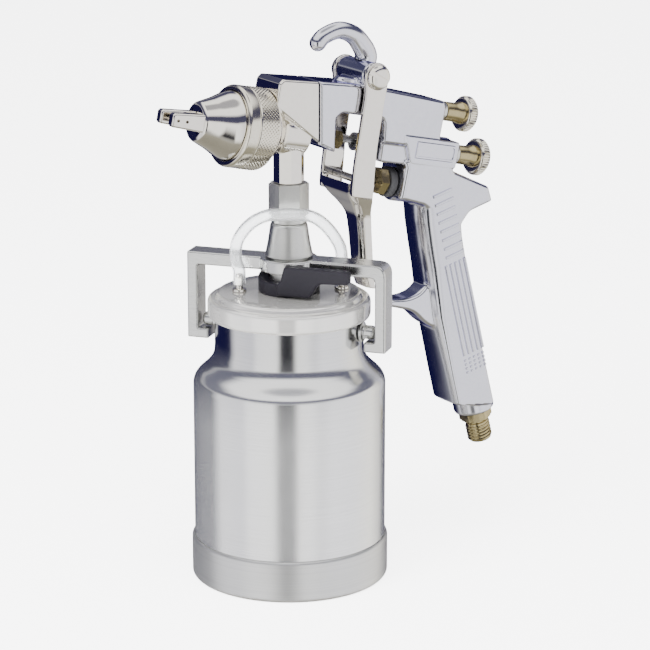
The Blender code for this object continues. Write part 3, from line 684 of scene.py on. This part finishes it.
for side, node in ((1, "cup_stud_right"), (-1, "cup_stud_left")):
    at = yokeFrame @ Matrix.Translation((side * 37.9, 0, 131)) @ Matrix.Rotation(side * pi / 2, 4, "Y")
    piece("stud" + ("Right" if side > 0 else "Left"), revolve(ease(stud, 0.3, 4), 48), at, "yokeSteel", "gun", [node])

lid = {"profile": [(7.6, 149.3), (30.0, 149.3, 6), (35.2, 149.0, 1.2), (36.4, 148.4, 0.8), (36.9, 147.0, 0.5),
                   (37.2, 146.4, 0.4), (39.2, 146.4, 0.9), (40.8, 145.6, 0.8), (41.2, 144.2, 0.6),
                   (41.2, 138.2, 0.8), (40.6, 136.8, 0.5), (38.8, 136.8, 0.3), (38.8, 143.9, 0.2),
                   (34.4, 143.9, 0.2), (34.4, 146.8, 0.4), (7.6, 147.0)]}
piece("lid", revolve(ease(lid["profile"], 0.3, 5), 160), cupFrame, "mirrorLid", "gun", ["cup_lid"])
print("cup done")


# ---- post, washer, nut and stem ----

postShape = [(4.3, 135.0), (7.2, 135.0, 0.4), (7.2, 149.3), (9.6, 149.4, 0.3), (9.6, 168.0, 0.4), (12.2, 168.0, 0.5),
             (11.8, 169.2, 1.0), (10.6, 175.0, 4), (9.4, 183.4, 1.0), (8.8, 184.7, 0.4), (6.0, 184.7, 0.2),
             (6.0, 194.8), (3.0, 194.8), (3.0, 150.0), (4.3, 150.0)]
piece("post", revolve(ease(postShape, 0.1, 5), 72), cupFrame, "castPost", "gun", ["lid_post"])
washer = [(6.3, 184.9), (8.8, 184.9, 0.4), (8.8, 188.2, 0.5), (6.3, 188.2)]
piece("washer", revolve(ease(washer, 0.1, 4), 64), cupFrame, "castPost", "gun", ["post_washer"])
piece("cupNut", prismBar(17.6, 188.5, 205.0, 6, 1.0, 6.4), cupFrame, "tumbledNut", "cup_nut", ["cup_nut"], angle=20)
stemTail = [(2.5, 195.3), (6.0, 195.3, 0.4), (6.0, 206.0), (2.5, 206.0)]
piece("stem", merged([prismBar(14.4, 205.3, 223.8, 8, 0.5, 2.4), revolve(stemTail, 48)]), cupFrame, "brightNickel",
      "gun", ["fluid_inlet_stem"], angle=20)
print("post done")


# ---- clamp: cam lever, yoke ----

cam = {"inner": 9.9, "outer": 15.5, "low": 149.3, "top": 158.0, "drop": 2.0}


def camMesh():
    # The hub's top carries the two ramps that hold the yoke's pads up.
    mesh = bmesh.new()
    sides = 180
    tops = []
    for k in range(sides):
        degree = (k * 360 / sides - 3) % 180
        tops.append(cam["top"] if degree > 156 else cam["top"] - min(degree, 60) / 60 * cam["drop"])
    rounded = 0.7
    inner, outer, low = cam["inner"], cam["outer"], cam["low"]
    rings = [(inner, low, 0), (outer - rounded, low, 0), (outer - 0.2, low + 0.2, 0), (outer, low + rounded, 0),
             (outer, -rounded, 1), (outer - 0.2, -0.2, 1), (outer - rounded, 0, 1), (inner, 0, 1)]
    loops = []
    for radius, height, top in rings:
        loops.append([mesh.verts.new((radius * cos(2 * pi * k / sides), radius * sin(2 * pi * k / sides),
                                      height + (tops[k] if top else 0))) for k in range(sides)])
    bridge(mesh, loops + loops[:1])
    return mesh


armShape = [(-1.0, 150.5), (16.6, 150.5, 2), (20.8, 158.2, 3), (36.0, 158.8, 1.2), (36.8, 160.0, 0.8),
            (36.8, 164.4, 0.8), (35.6, 165.6, 1.2), (3.0, 165.6, 1.2), (1.0, 158.0, 1.0), (-1.0, 156.0, 0.6)]
sweepCut = revolve([(0, cam["top"] + 0.1), (15.0, cam["top"] + 0.1), (15.0, 175), (0, 175)], 72)
lever = solidify("camLever", [camMesh(), slab(armShape, -17.6, -12.2, 1.0)], [sweepCut], 0.3, 2)
piece("camLever", lever, yokeFrame, "blackCam", "cam_lever", ["cam_lever"], angle=45)

strap = {"span": 52.5, "half": 6.5, "top": 167.0, "under": 160.4, "foot": 122.0, "lip": 41.3, "side": 5.6}
span, inside, lip = strap["span"], strap["span"] - strap["side"], strap["lip"]
strapTop, strapUnder, foot = strap["top"], strap["under"], strap["foot"]
strapShape = [(-span, foot, 0.8), (-span, strapTop, 6.2), (span, strapTop, 6.2), (span, foot, 0.8), (lip, foot, 0.8),
              (lip, 127.0, 0.8), (inside, 127.0, 1.2), (inside, strapUnder, 2.6), (-inside, strapUnder, 2.6),
              (-inside, 127.0, 1.2), (-lip, 127.0, 0.8), (-lip, foot, 0.8)]
eye = revolve(ease([(0, strapUnder), (14.6, strapUnder, 0.7), (14.6, strapTop, 0.9), (0, strapTop)], 0.1, 4), 96)
pads = [moved(revolve(ease([(0, 158.3), (1.8, 158.3, 0.4), (1.8, 161.4), (0, 161.4)], 0.1, 3), 32),
              Matrix.Translation((side * 12.6 * cos(radians(12)), side * 12.6 * sin(radians(12)), 0)))
        for side in (-1, 1)]
hole = revolve([(0, 150), (10.1, 150), (10.1, 175), (0, 175)], 96)
yokeMesh = solidify("yoke", [slab(strapShape, -strap["half"], strap["half"], 0.7), eye] + pads, [hole], 0.45, 4)
piece("yoke", yokeMesh, yokeFrame, "yokeSteel", "yoke", ["yoke"], angle=45)
print("clamp done")


# ---- vent barbs and drip tube ----

barb = [(1.2, 149.3), (3.6, 149.3, 0.3), (3.6, 150.8, 0.4), (1.8, 151.3, 0.3), (1.8, 153.2), (2.2, 153.3, 0.1),
        (1.8, 155.0), (2.2, 155.1, 0.1), (1.8, 156.8), (2.2, 156.9, 0.1), (1.7, 158.6), (1.2, 158.6)]
for node, at in (("vent_barb_right", (23.6, -12.0, 0)), ("vent_barb_left", (-22.6, 11.0, 0))):
    piece("barb" + node[-5:].strip("_").title(), revolve(ease(barb, 0.05, 2), 40), cupFrame @ Matrix.Translation(at),
          "brightNickel", "gun", [node])
tubeRoute = [(-22.6, 11, 153.2), (-22.6, 11, 160.5), (-24.1, 11.8, 166), (-23.9, 10.6, 175), (-22, 5.9, 182.6),
             (-19.4, -0.6, 188.3), (-15.2, -6.3, 191.4), (-10.7, -10.2, 191.8), (-6.2, -13.3, 191.8),
             (2.9, -15.5, 190.3), (11.5, -14.5, 184.9), (19.2, -13, 176.6), (23.4, -12, 169), (23.6, -12, 160.5),
             (23.6, -12, 153.2)]
piece("ventTube", sweep(splinePoints(tubeRoute, [3.1] * len(tubeRoute), 0.8), 36, 1.0, 0.8), cupFrame,
      "frostedTube", "gun", ["vent_tube"], angle=60)
print("vent done")


# ---- head, nozzle, air cap and ring ----

def seamPoint(up, gap):
    # Where the upright seam plane crosses this height of the gun's own frame.
    return (10.6 + gap - up * sin(pitch)) / cos(pitch), up


def seamBlock(gap, thick):
    mesh = bmesh.new()
    bmesh.ops.create_cube(mesh, size=1)
    bmesh.ops.scale(mesh, vec=(thick, 60, 90), verts=mesh.verts)
    bmesh.ops.translate(mesh, vec=(10.6 + gap + thick / 2, 0, gunStart.z * 1000 + 5), verts=mesh.verts)
    return moved(mesh, gunFrame.inverted() @ millimetre)


headShape = [(-17.4, 13.0), (-17.4, 24.6, 1.5), (-15.6, 26.8, 1.5), (*seamPoint(28.2, 2.0), 0.2),
             (*seamPoint(-3.0, 2.0), 0.2), (-2.0, 5.0, 2.0)]
neckShape = [(0, -31.8), (16.4, -31.8), (16.9, -31.2, 0.3), (16.9, -16.5, 1.2), (15.6, -14.0, 2), (11.2, -9.0, 3),
             (10.8, 0.0, 2), (10.8, 7.0), (0, 7.0)]
stemSocket = revolve([(0, 205), (8.05, 205), (8.05, 224.2), (0, 224.2)], 64)
headMesh = solidify("head", [slab(headShape, -11.5, 11.5, 1.4),
                             moved(revolve(ease(neckShape, 0.3, 4), 96), turnAlong)],
                    [moved(revolve([(0, -35), (9.1, -35), (9.1, -21.6), (0, -21.6)], 64), turnAlong),
                     moved(stemSocket, gunFrame.inverted() @ millimetre), seamBlock(-0.3, 30)], 0.4, 6)
piece("head", headMesh, gunFrame, "brightNickel", "gun", ["gun_head"], angle=40)

nozzleShape = [(1.55, -54.9), (2.25, -54.9, 0.1), (2.25, -51.6, 0.3), (4.6, -46.0, 0.5), (4.6, -39.0, 0.2),
               (8.8, -39.0, 0.4), (8.8, -21.9, 0.3), (2.3, -21.9), (2.3, -45.0), (1.55, -49.0)]
piece("nozzle", revolve(ease(nozzleShape, 0.1, 3), 72), gunFrame @ turnAlong, "warmBrass", "gun", ["fluid_nozzle"])

capShape = [(2.6, -55.0), (8.2, -55.0, 0.8), (9.9, -54.0, 0.8), (13.0, -46.2, 1.5), (16.4, -39.5, 2.0),
            (17.3, -36.4, 1.0), (17.35, -34.2, 0.2), (18.8, -34.2), (18.8, -32.2), (13.4, -32.2), (13.4, -36.5),
            (5.6, -50.5), (2.6, -52.2)]
hornShape = [(-50.0, -4.6, 1.0), (-50.0, 4.6, 1.0), (-58.0, 4.2, 2.0), (-71.0, 3.5, 1.6), (-72.0, 2.4, 1.2),
             (-72.0, -2.4, 1.2), (-71.0, -3.5, 1.6), (-58.0, -4.2, 2.0)]
hornMeshes = [slab(hornShape, *sorted((side * 3.2, side * 8.4)), 1.2) for side in (-1, 1)]
holes = []
for side in (-1, 1):
    for along in (-62.0, -67.0):
        drill = revolve([(0, -6), (0.75, -6), (0.75, 6), (0, 6)], 20)
        lean = Matrix.Rotation(radians(side * 28), 4, "Z") @ turnAcross
        holes.append(moved(drill, Matrix.Translation((along, side * 4.4, 0)) @ lean))
    for up in (-4.4, 4.4):
        drill = revolve([(0, -8), (0.55, -8), (0.55, 4), (0, 4)], 16)
        holes.append(moved(drill, Matrix.Translation((-54.0, 0, up)) @ turnAlong))
faceHoles = {"out": 6.6, "at": (125, 55, 235, -55)}
for degree in faceHoles["at"]:
    drill = revolve([(0, -8), (0.5, -8), (0.5, 4), (0, 4)], 16)
    holes.append(moved(drill, Matrix.Translation((-54.0, faceHoles["out"] * cos(radians(degree)),
                                                  faceHoles["out"] * sin(radians(degree)))) @ turnAlong))
capMesh = solidify("airCap", [moved(revolve(ease(capShape, 0.1, 4), 128), turnAlong)] + hornMeshes, holes, 0)
piece("airCap", capMesh, gunFrame, "brightNickel", "air_cap", ["air_cap"], angle=35)

ringShape = [(17.7, -36.0), (19.3, -36.0, 0.3), (20.4, -35.0, 0.7), (20.4, -29.8, 0.3), (19.9, -29.3, 0.2),
             (19.9, -28.9, 0.2), (20.2, -28.5, 0.1), (20.2, -18.7, 0.1), (19.8, -18.0, 0.3), (17.2, -18.0),
             (17.2, -31.0), (19.1, -31.0), (19.1, -34.5), (17.7, -34.5)]
piece("ring", revolve(ease(ringShape, 0.1, 4), 144), gunFrame @ turnAlong, "turnedNickel", "retaining_ring",
      ["retaining_ring"])
knurl = layout(roundLayout, pyramid(0.55, 0.9, 0.9), "turnedNickel",
               {"Around": 68, "Rows": 10, "Radius": 20.1, "Low": -27.7, "Rise": 0.93, "Stagger": 0.5})
piece("ringKnurl", knurl, gunFrame @ turnAlong, "turnedNickel", "retaining_ring", angle=20)
print("head done")


# ---- gun body ----

upperShape = [(*seamPoint(28.3, 1.0), 0.3), (26.0, 29.4, 2), (48.9, 29.0, 3), (83.0, 27.2, 1.5), (84.8, 24.0, 1.5),
              (84.8, 2.0, 1), (50.2, 2.0, 1), (48.2, 14.2, 3), (22.0, 14.2, 3.5), (19.6, 11.4, 2), (22.6, -5.8, 1),
              (*seamPoint(-3.0, 1.0), 0.4)]
barrelShape = [(50.4, 7.3, 2), (97.4, 7.3, 1.2), (97.4, -8.0, 2), (51.2, -8.0, 2)]
ledgeShape = [(62.0, 7.4, 0.2), (96.8, 7.4, 1.0), (96.8, -6.4, 1.0), (68.0, -6.4, 2.0)]
shoulderShape = [(65.0, -5.5, 1), (66.8, -9.0, 1.5), (66.8, -25.5, 2), (82.0, -27.2, 2), (86.0, -29.0, 2),
                 (107.0, -38.0, 4), (110.4, -31.0, 5), (112.4, -27.5, 4), (125.4, -20.7, 2.0), (121.2, -13.4, 1.6),
                 (97.3, -7.8, 2.5), (94.0, -4.0, 1)]
gripStations = [((80.4, -26.0), (106.0, -22.0), 9.0, 3.0), ((84.0, -37.0), (108.6, -34.0), 9.0, 3.0),
                ((89.2, -50.0), (110.8, -40.6), 9.0, 3.0), ((93.6, -60.0), (115.0, -50.2), 8.5, 3.0),
                ((97.8, -70.5), (119.9, -60.6), 7.5, 2.6), ((104.0, -85.5), (126.8, -75.2), 6.0, 2.4),
                ((111.5, -100.0), (133.9, -90.6), 4.5, 2.2), ((119.2, -115.2), (143.2, -109.4), 3.6, 2.2),
                ((126.8, -130.2), (152.4, -127.6), 3.4, 2.2)]
restShape = [(99.0, -66.0, 2), (94.6, -73.2, 4), (87.0, -76.8, 6), (76.8, -78.0, 1.0), (75.2, -79.8, 1.2),
             (77.2, -81.8, 1.0), (92.0, -83.0, 6), (101.0, -89.0, 4), (110.0, -92.0), (108.0, -70.0)]


def rodMesh(radius, low, high, rounding=0.6, sides=72):
    return revolve(ease([(0, low), (radius, low, rounding), (radius, high, rounding), (0, high)], 0.1, 4), sides)


hookFlange = revolve(ease([(0, 24.0), (8.0, 24.0), (8.0, 30.6, 0.9), (6.6, 31.6, 0.8), (0, 31.8)], 0.1, 4), 72)
bodyParts = [slab(upperShape, -11.5, 11.5, 2.0), slab(barrelShape, -9.6, 9.6, 1.6),
             slab(ledgeShape, -12.3, 12.3, 0.7), slab(shoulderShape, -11.9, 11.9, 2.6),
             loft(gripStations, 12.0), slab(restShape, -7.0, 7.0, 2.0),
             moved(rodMesh(6.8, -12.4, 12.4), Matrix.Translation((pivotAt.x, 0, pivotAt.z)) @ turnAcross),
             moved(hookFlange, Matrix.Translation((30.5, 0, 0))),
             moved(rodMesh(9.4, 66.8, 84.0, 0.8), Matrix.Translation((0, 0, valveRise)) @ turnAlong),
             moved(rodMesh(8.0, 88.0, 97.7, 0.8), turnAlong),
             moved(rodMesh(10.8, -12.0, 8.9, 1.0), gunFrame.inverted() @ inletFrame)]
bodyCuts = [moved(rodMesh(4.4, 44, 99), turnAlong), moved(rodMesh(2.2, -30, 60), turnAlong),
            moved(rodMesh(3.6, 58, 90), Matrix.Translation((0, 0, patternRise)) @ turnAlong),
            moved(rodMesh(5.0, 60, 98), Matrix.Translation((0, 0, valveRise)) @ turnAlong),
            moved(rodMesh(5.6, -60.0, 12), gunFrame.inverted() @ inletFrame)]
bodyCuts.append(moved(rodMesh(2.8, -20, 20), Matrix.Translation((pivotAt.x, 0, pivotAt.z)) @ turnAcross))
bodyCuts.append(seamBlock(-40 + 0.98, 40))
bodyMesh = solidify("gunBody", bodyParts, bodyCuts, 0.6, 7)
piece("gunBody", bodyMesh, gunFrame, "polishedBody", "gun", ["gun_body"], angle=50)

# The moulded details of both sides: long ribs, plain cross bars, a dotted patch and an empty frame.
gripAngle = atan2(0.447, 0.894)
details = []
for side in (1, -1):
    flip = Matrix.Diagonal((1, side, 1, 1))
    lean = (0, -gripAngle, 0)
    along = Vector((sin(gripAngle), 0, -cos(gripAngle)))
    across = Vector((cos(gripAngle), 0, sin(gripAngle)))
    start = Vector((114.2, -12.0, -80.0))
    details.append(moved(layout(flatLayout, pad(52.0, 1.7, 0.8), "polishedBody", {
        "Across": 5, "Rows": 1, "Corner": start, "Step": across * 3.0, "RowStep": (0, 0, 0), "Turn": lean}), flip))
    details.append(moved(layout(flatLayout, pad(1.7, 12.0, 0.7), "polishedBody", {
        "Across": 8, "Rows": 1, "Corner": Vector((91.6, -12.0, -19.5)), "Step": along * 4.9,
        "RowStep": (0, 0, 0), "Turn": lean}), flip))
    details.append(moved(layout(flatLayout, pad(1.3, 1.5, 0.7), "polishedBody", {
        "Across": 5, "Rows": 4, "Corner": start + along * 28.6 - across * 0.2, "Step": across * 2.9,
        "RowStep": along * 2.3, "Turn": lean}), flip))
    outer, inner = pad(8.8, 25.0, 0.7), pad(6.6, 22.8, 1.6)
    moved(inner, Matrix.Translation((0, -0.12, 0)))
    frameMesh = solidify("labelFrame", [outer], [inner], 0)
    details.append(moved(frameMesh, flip @ Matrix.Translation((82.5, -12.3, 1.0))))
piece("bodyDetails", merged(details), gunFrame, "polishedBody", "gun", angle=35)

hookRoute = [(37.3, 0, 40.5), (37.3, 0, 43.6), (34.4, 0, 47.6), (27.6, 0, 52.7), (18.5, 0, 54.0), (10.4, 0, 50.1),
             (7.4, 0, 46.2)]
piece("hook", sweep(splinePoints(hookRoute, [5.7, 5.6, 5.3, 4.8, 4.4, 4.2, 4.2], 0.7), 48, 1.0, 0.0, (False, True)),
      gunFrame, "polishedBody", "gun", ["hanging_hook"], angle=50)
print("body done")


# ---- rear controls ----

def rearKnob(name, radius, low, rise, body, node):
    # A brass hub that flares to a disc with a milled rim.
    at = gunPoint(0, 0, rise) @ turnAlong
    hub = [(1.7, low), (4.9, low, 0.3), (5.0, low + 7.0, 2.0), (5.8, low + 10.2, 1.0), (5.8, low + 11.8),
           (0, low + 11.8), (0, low + 8.0), (1.7, low + 8.0)]
    disc = [(4.0, low + 11.0), (radius - 0.9, low + 11.0, 0.7), (radius - 0.1, low + 12.2, 0.5),
            (radius - 0.1, low + 15.6, 0.5), (radius - 1.2, low + 17.0, 0.9), (radius - 2.4, low + 17.2, 0.4),
            (radius - 3.0, low + 16.7, 0.4), (0, low + 16.7), (0, low + 11.4), (4.0, low + 11.4)]
    piece(name + "Hub", revolve(ease(hub, 0.1, 4), 72), at, "warmBrass", body)
    piece(name, revolve(ease(disc, 0.1, 4), 96), at, "turnedNickel", body, [node])
    teeth = layout(roundLayout, ridge(0.5, 0.5, 3.6), "turnedNickel",
                   {"Around": 44, "Rows": 1, "Radius": radius - 0.14, "Low": low + 13.9, "Rise": 0.0, "Stagger": 0.0})
    piece(name + "Rim", teeth, at, "turnedNickel", body, angle=20)


rearKnob("fluidKnob", 9.3, 103.8, 0.0, "fluid_knob", "fluid_knob")
rearKnob("patternKnob", 8.9, 91.0, patternRise, "pattern_knob", "pattern_knob")
for name, node, radius, bore, low, high, rise in (
        ("fluidBushing", "fluid_knob_bushing", 5.5, 1.6, 98.1, 103.5, 0.0),
        ("patternBushing", "pattern_valve_bushing", 5.1, 1.9, 85.1, 90.7, patternRise)):
    collar = [(bore, low), (radius, low, 0.2), (radius, high - 1.6, 0.4), (radius - 0.3, high, 0.4), (bore, high)]
    piece(name, revolve(ease(collar, 0.1, 4), 64), gunPoint(0, 0, rise) @ turnAlong, "yokeSteel", "gun", [node])

valveAt = gunPoint(0, 0, valveRise) @ turnAlong
cageTail = [(1.9, 61.5), (4.6, 61.5), (4.6, 74.0), (1.9, 74.0)]
cage = merged([prismBar(12.8, 56.8, 61.9, 6, 0.8, 1.9), revolve(cageTail, 48)])
piece("valveCage", cage, valveAt, "warmBrass", "gun", ["air_valve_cage"], angle=20)
seal = [(4.9, 62.2), (7.4, 62.2, 0.5), (7.8, 62.9, 0.4), (7.8, 65.9, 0.4), (7.4, 66.5, 0.4), (4.9, 66.5)]
piece("valveSeal", revolve(ease(seal, 0.1, 4), 64), valveAt, "sealRubber", "gun", ["air_valve_seal"])
packing = prismBar(9.0, 22.8, 30.0, 6, 0.6, 1.6)
piece("packingNut", packing, gunFrame @ turnAlong, "warmBrass", "gun", ["needle_packing_nut"], angle=20)
print("controls done")


# ---- air inlet ----

nippleShape = [(3.2, 0.4), (5.3, 0.4), (5.3, 9.2), (6.4, 9.3), (6.4, 14.6, 0.3), (5.5, 15.0, 0.3), (5.5, 15.9, 0.3),
               (6.1, 16.2, 0.3), (6.1, 26.0, 0.6), (5.6, 27.0, 0.4), (3.2, 27.0)]
nipple = merged([revolve(ease(nippleShape, 0.1, 4), 72), prismBar(15.2, 9.3, 14.4, 6, 0.9, 4.6),
                 helix(6.05, 0.62, 16.6, 26.2, 1.75)])
piece("airNipple", nipple, inletFrame, "warmBrass", "gun", ["air_inlet_nipple"], angle=25)
print("inlet done")


# ---- trigger ----

triggerSections = [(-19.0, 32.9, 46.4, 15.6), (-24.0, 33.6, 46.6, 15.4), (-28.0, 37.0, 48.8, 13.4),
                   (-32.0, 41.8, 51.0, 10.4), (-37.0, 46.2, 53.6, 8.1), (-45.0, 49.4, 56.2, 7.4),
                   (-54.0, 52.4, 58.9, 7.2), (-67.0, 56.8, 63.0, 7.0), (-73.0, 60.2, 65.4, 6.6)]


def triggerChannel(sections):
    mesh = bmesh.new()
    wall = 2.4
    loops = []
    for v, front, back, half in sections:
        bend = min(4.0, half * 0.5)
        outside = [(back, -half)] + [(front + bend * (1 - sin(radians(t))), -half + bend * (1 - cos(radians(t))))
                                     for t in range(0, 91, 15)]
        innerBend = bend * 0.6
        hollowSide = [(back, -half + wall)]
        hollowSide += [(front + wall + innerBend * (1 - sin(radians(t))),
                        -half + wall + innerBend * (1 - cos(radians(t)))) for t in range(0, 91, 15)]
        outline = outside + [(u, -y) for u, y in outside[::-1]] + [(u, -y) for u, y in hollowSide] + hollowSide[::-1]
        loops.append([mesh.verts.new((u, y, v)) for u, y in outline])
    return capped(mesh, loops)


def smoothed(points, steps=4):
    # More (height, front, back, half) sections along a smooth curve.
    made = []
    for k in range(len(points) - 1):
        p = [Vector(points[max(0, min(len(points) - 1, k + j))]) for j in (-1, 0, 1, 2)]
        for j in range(steps):
            t = j / steps
            w = curveWeights(t)
            made.append(tuple(sum(q[i] * u for q, u in zip(p, w)) for i in range(4)))
    made.append(tuple(points[-1]))
    return made


legTop = [(pivotAt.x + 7.2 * cos(radians(a)), pivotAt.z + 7.2 * sin(radians(a))) for a in range(190, -11, -10)]
legShape = [(*p, 0) for p in legTop] + [(42.9, 26.0, 6), (43.9, -1.5, 6), (46.6, -23.0, 3), (46.9, -26.4, 1),
                                        (34.4, -26.4, 1), (33.6, -23.0, 3), (32.3, -10.0, 5), (31.2, 26.0, 6)]
legs = [slab(legShape, *sorted((side * 13.0, side * 15.7)), 0.6) for side in (-1, 1)]
eyeCut = moved(rodMesh(2.8, -20, 20), Matrix.Translation((pivotAt.x, 0, pivotAt.z)) @ turnAcross)
notch = slab([(20, 0, 0), (60, 0, 0), (60, -14.5, 0), (47.0, -20.5, 4), (31.5, -20.5, 4), (20, -14.5, 0)],
             -12.9, 12.9, 0.0)
triggerMesh = solidify("trigger", [triggerChannel(smoothed(triggerSections))] + legs, [notch, eyeCut], 0.36, 5)
piece("trigger", triggerMesh, gunFrame, "brightNickel", "trigger", ["trigger"], angle=45)

across = gunPoint(pivotAt.x, 0, pivotAt.z) @ turnAcross
screwShape = [(0, 7.3), (2.5, 7.3), (2.5, 16.0), (6.4, 16.0, 0.3), (6.4, 17.2, 0.5), (5.2, 18.7, 1.2), (2.8, 19.4, 1.5),
              (0, 19.5)]
slotCut = slab([(-9, -1.1), (9, -1.1), (9, 1.1), (-9, 1.1)], -21.0, -16.9)
moved(slotCut, turnAcross.inverted() @ Matrix.Rotation(radians(20), 4, "Y"))
screw = solidify("screw", [revolve(ease(screwShape, 0.1, 5), 72)], [slotCut], 0)
piece("triggerScrew", screw, across, "brightNickel", "gun", ["trigger_screw"], angle=35)
studShape = [(0, -18.4), (5.2, -18.4, 0.5), (6.2, -17.4, 0.4), (6.2, -16.0, 0.2), (2.5, -16.0), (2.5, 7.0), (0, 7.0)]
piece("triggerStud", revolve(ease(studShape, 0.1, 4), 72), across, "brightNickel", "gun", ["trigger_stud"])
print("trigger done")

# The parts that are right as they are only take their finish.
keeps = {"siphon_tube": "yokeSteel", "lid_gasket": "sealRubber", "head_gasket": "sealRubber",
         "fluid_needle": "drawnSteel", "needle_spring": "drawnSteel", "air_valve_spring": "drawnSteel",
         "air_valve_stem": "drawnSteel", "pattern_valve_stem": "drawnSteel", "needle_push_bar": "drawnSteel",
         "valve_push_bar": "drawnSteel"}
for node, look in keeps.items():
    mats = frame["nodes"][node].data.materials
    mats.clear()
    mats.append(looks[look])


# ---- floor, light and camera ----

studio = {"floor": (0.93, 0.93, 0.93), "camera": (-0.742, -1.187, 0.522), "look": (0.521, 0.810, -0.269),
          "lens": 159.3, "navy": (0.006, 0.005, 0.032),
          "grey": (0.02, 0.02, 0.025), "room": 1.9, "backdrop": 10.0, "floorGlow": 4.6}
floorMesh = bpy.data.meshes.new("floor")
floorMesh.from_pydata([(-4, -4, 0), (4, -4, 0), (4, 4, 0), (-4, 4, 0)], [], [(0, 1, 2, 3)])
floor = bpy.data.objects.new("floor", floorMesh)
bpy.context.scene.collection.objects.link(floor)
floorLook = bpy.data.materials.new("paleFloor")
floorLook.use_nodes = True
floorShader = floorLook.node_tree.nodes["Principled BSDF"]
floorShader.inputs["Base Color"].default_value = (*studio["floor"], 1)
floorShader.inputs["Roughness"].default_value = 0.9
floorShader.inputs["Specular IOR Level"].default_value = 0.0
floorShader.inputs["Emission Color"].default_value = (1, 1, 1, 1)
floorShader.inputs["Emission Strength"].default_value = studio["floorGlow"]
floorMesh.materials.append(floorLook)
floor.visible_glossy = False


def makeWorld():
    # The backdrop is white to the camera; the metal sees a bright room with a navy wall behind.
    world = bpy.data.worlds.new("studio")
    world.use_nodes = True
    tree = world.node_tree
    tree.nodes.clear()
    way = addNode(tree, "ShaderNodeTexCoord")
    split = addNode(tree, "ShaderNodeSeparateXYZ", {0: way.outputs["Generated"]})
    angle = sums(tree, "ARCTAN2", split.outputs["Y"], split.outputs["X"])
    turn = addNode(tree, "ShaderNodeMapRange", {"Value": angle, "From Min": -pi, "From Max": pi})
    ramp = addNode(tree, "ShaderNodeValToRGB", {0: turn.outputs[0]})
    navy, grey = studio["navy"], studio["grey"]
    stops = [(-180, (0.62, 0.62, 0.68)), (-172, (0.95, 0.95, 0.98)), (-141, (1.0, 1.0, 1.0)), (-135, grey),
             (-116, grey), (-110, (1.0, 1.0, 1.0)), (-96, (0.95, 0.95, 0.97)), (-84, (0.72, 0.72, 0.76)),
             (-70, (0.90, 0.90, 0.95)), (-40, (0.88, 0.88, 0.92)), (-8, (1.0, 0.97, 0.90)), (12, (0.60, 0.58, 0.55)),
             (26, navy), (134, navy), (147, (0.72, 0.72, 0.76)), (180, (0.62, 0.62, 0.68))]
    band = ramp.color_ramp
    while len(band.elements) < len(stops):
        band.elements.new(0.5)
    for element, (degree, colour) in zip(band.elements, stops):
        element.position = (degree + 180) / 360
        element.color = (*colour, 1)
    upward = addNode(tree, "ShaderNodeValToRGB", {0: addNode(tree, "ShaderNodeMapRange", {
        "Value": split.outputs["Z"], "From Min": -1.0, "From Max": 1.0}).outputs[0]})
    # Height alone decides the floor, the dark cornice and the overhead softbox; white here means the ramp above.
    heights = [(-1.0, (0.20, 0.19, 0.16, 1)), (-0.75, (0.26, 0.25, 0.21, 1)), (-0.52, (0.8, 0.8, 0.78, 0.0)),
               (0.22, (1, 1, 1, 0.0)), (0.36, (0.05, 0.05, 0.09, 1)), (0.62, (0.04, 0.04, 0.08, 1)),
               (0.74, (0.95, 0.95, 0.97, 1)), (0.93, (1.0, 1.0, 1.0, 1)), (0.97, (0.3, 0.3, 0.33, 1))]
    band = upward.color_ramp
    while len(band.elements) < len(heights):
        band.elements.new(0.5)
    for element, (height, colour) in zip(band.elements, heights):
        element.position = (height + 1) / 2
        element.color = colour
    room = addNode(tree, "ShaderNodeMix", {0: upward.outputs[1], 6: ramp.outputs[0], 7: upward.outputs[0]},
                   data_type="RGBA")
    seen = addNode(tree, "ShaderNodeLightPath")
    glow = addNode(tree, "ShaderNodeBackground", {"Color": room.outputs[2], "Strength": studio["room"]})
    white = addNode(tree, "ShaderNodeBackground", {"Color": (1, 1, 1, 1), "Strength": studio["backdrop"]})
    mixed = addNode(tree, "ShaderNodeMixShader", {0: seen.outputs["Is Camera Ray"], 1: glow.outputs[0],
                                                  2: white.outputs[0]})
    addNode(tree, "ShaderNodeOutputWorld", {0: mixed.outputs[0]})
    return world


bpy.context.scene.world = makeWorld()


def softLight(name, at, size, power, colour=(1, 1, 1)):
    data = bpy.data.lights.new(name, "AREA")
    data.shape, data.size, data.energy, data.color = "DISK", size, power, colour
    light = bpy.data.objects.new(name, data)
    light.location = at
    light.rotation_euler = (Vector((0.03, 0, 0.15)) - Vector(at)).to_track_quat("-Z", "Y").to_euler()
    light.visible_glossy = False
    bpy.context.scene.collection.objects.link(light)
    return light


softLight("topLight", (-0.3, -0.5, 1.6), 1.4, 40)
softLight("sideLight", (-1.4, -0.4, 0.8), 1.0, 40)

eyeData = bpy.data.cameras.new("camera")
eyeData.lens, eyeData.sensor_width = studio["lens"], 36
camera = bpy.data.objects.new("camera", eyeData)
camera.location = studio["camera"]
camera.rotation_euler = Vector(studio["look"]).to_track_quat("-Z", "Y").to_euler()
bpy.context.scene.collection.objects.link(camera)
bpy.context.scene.camera = camera

print("scene built")
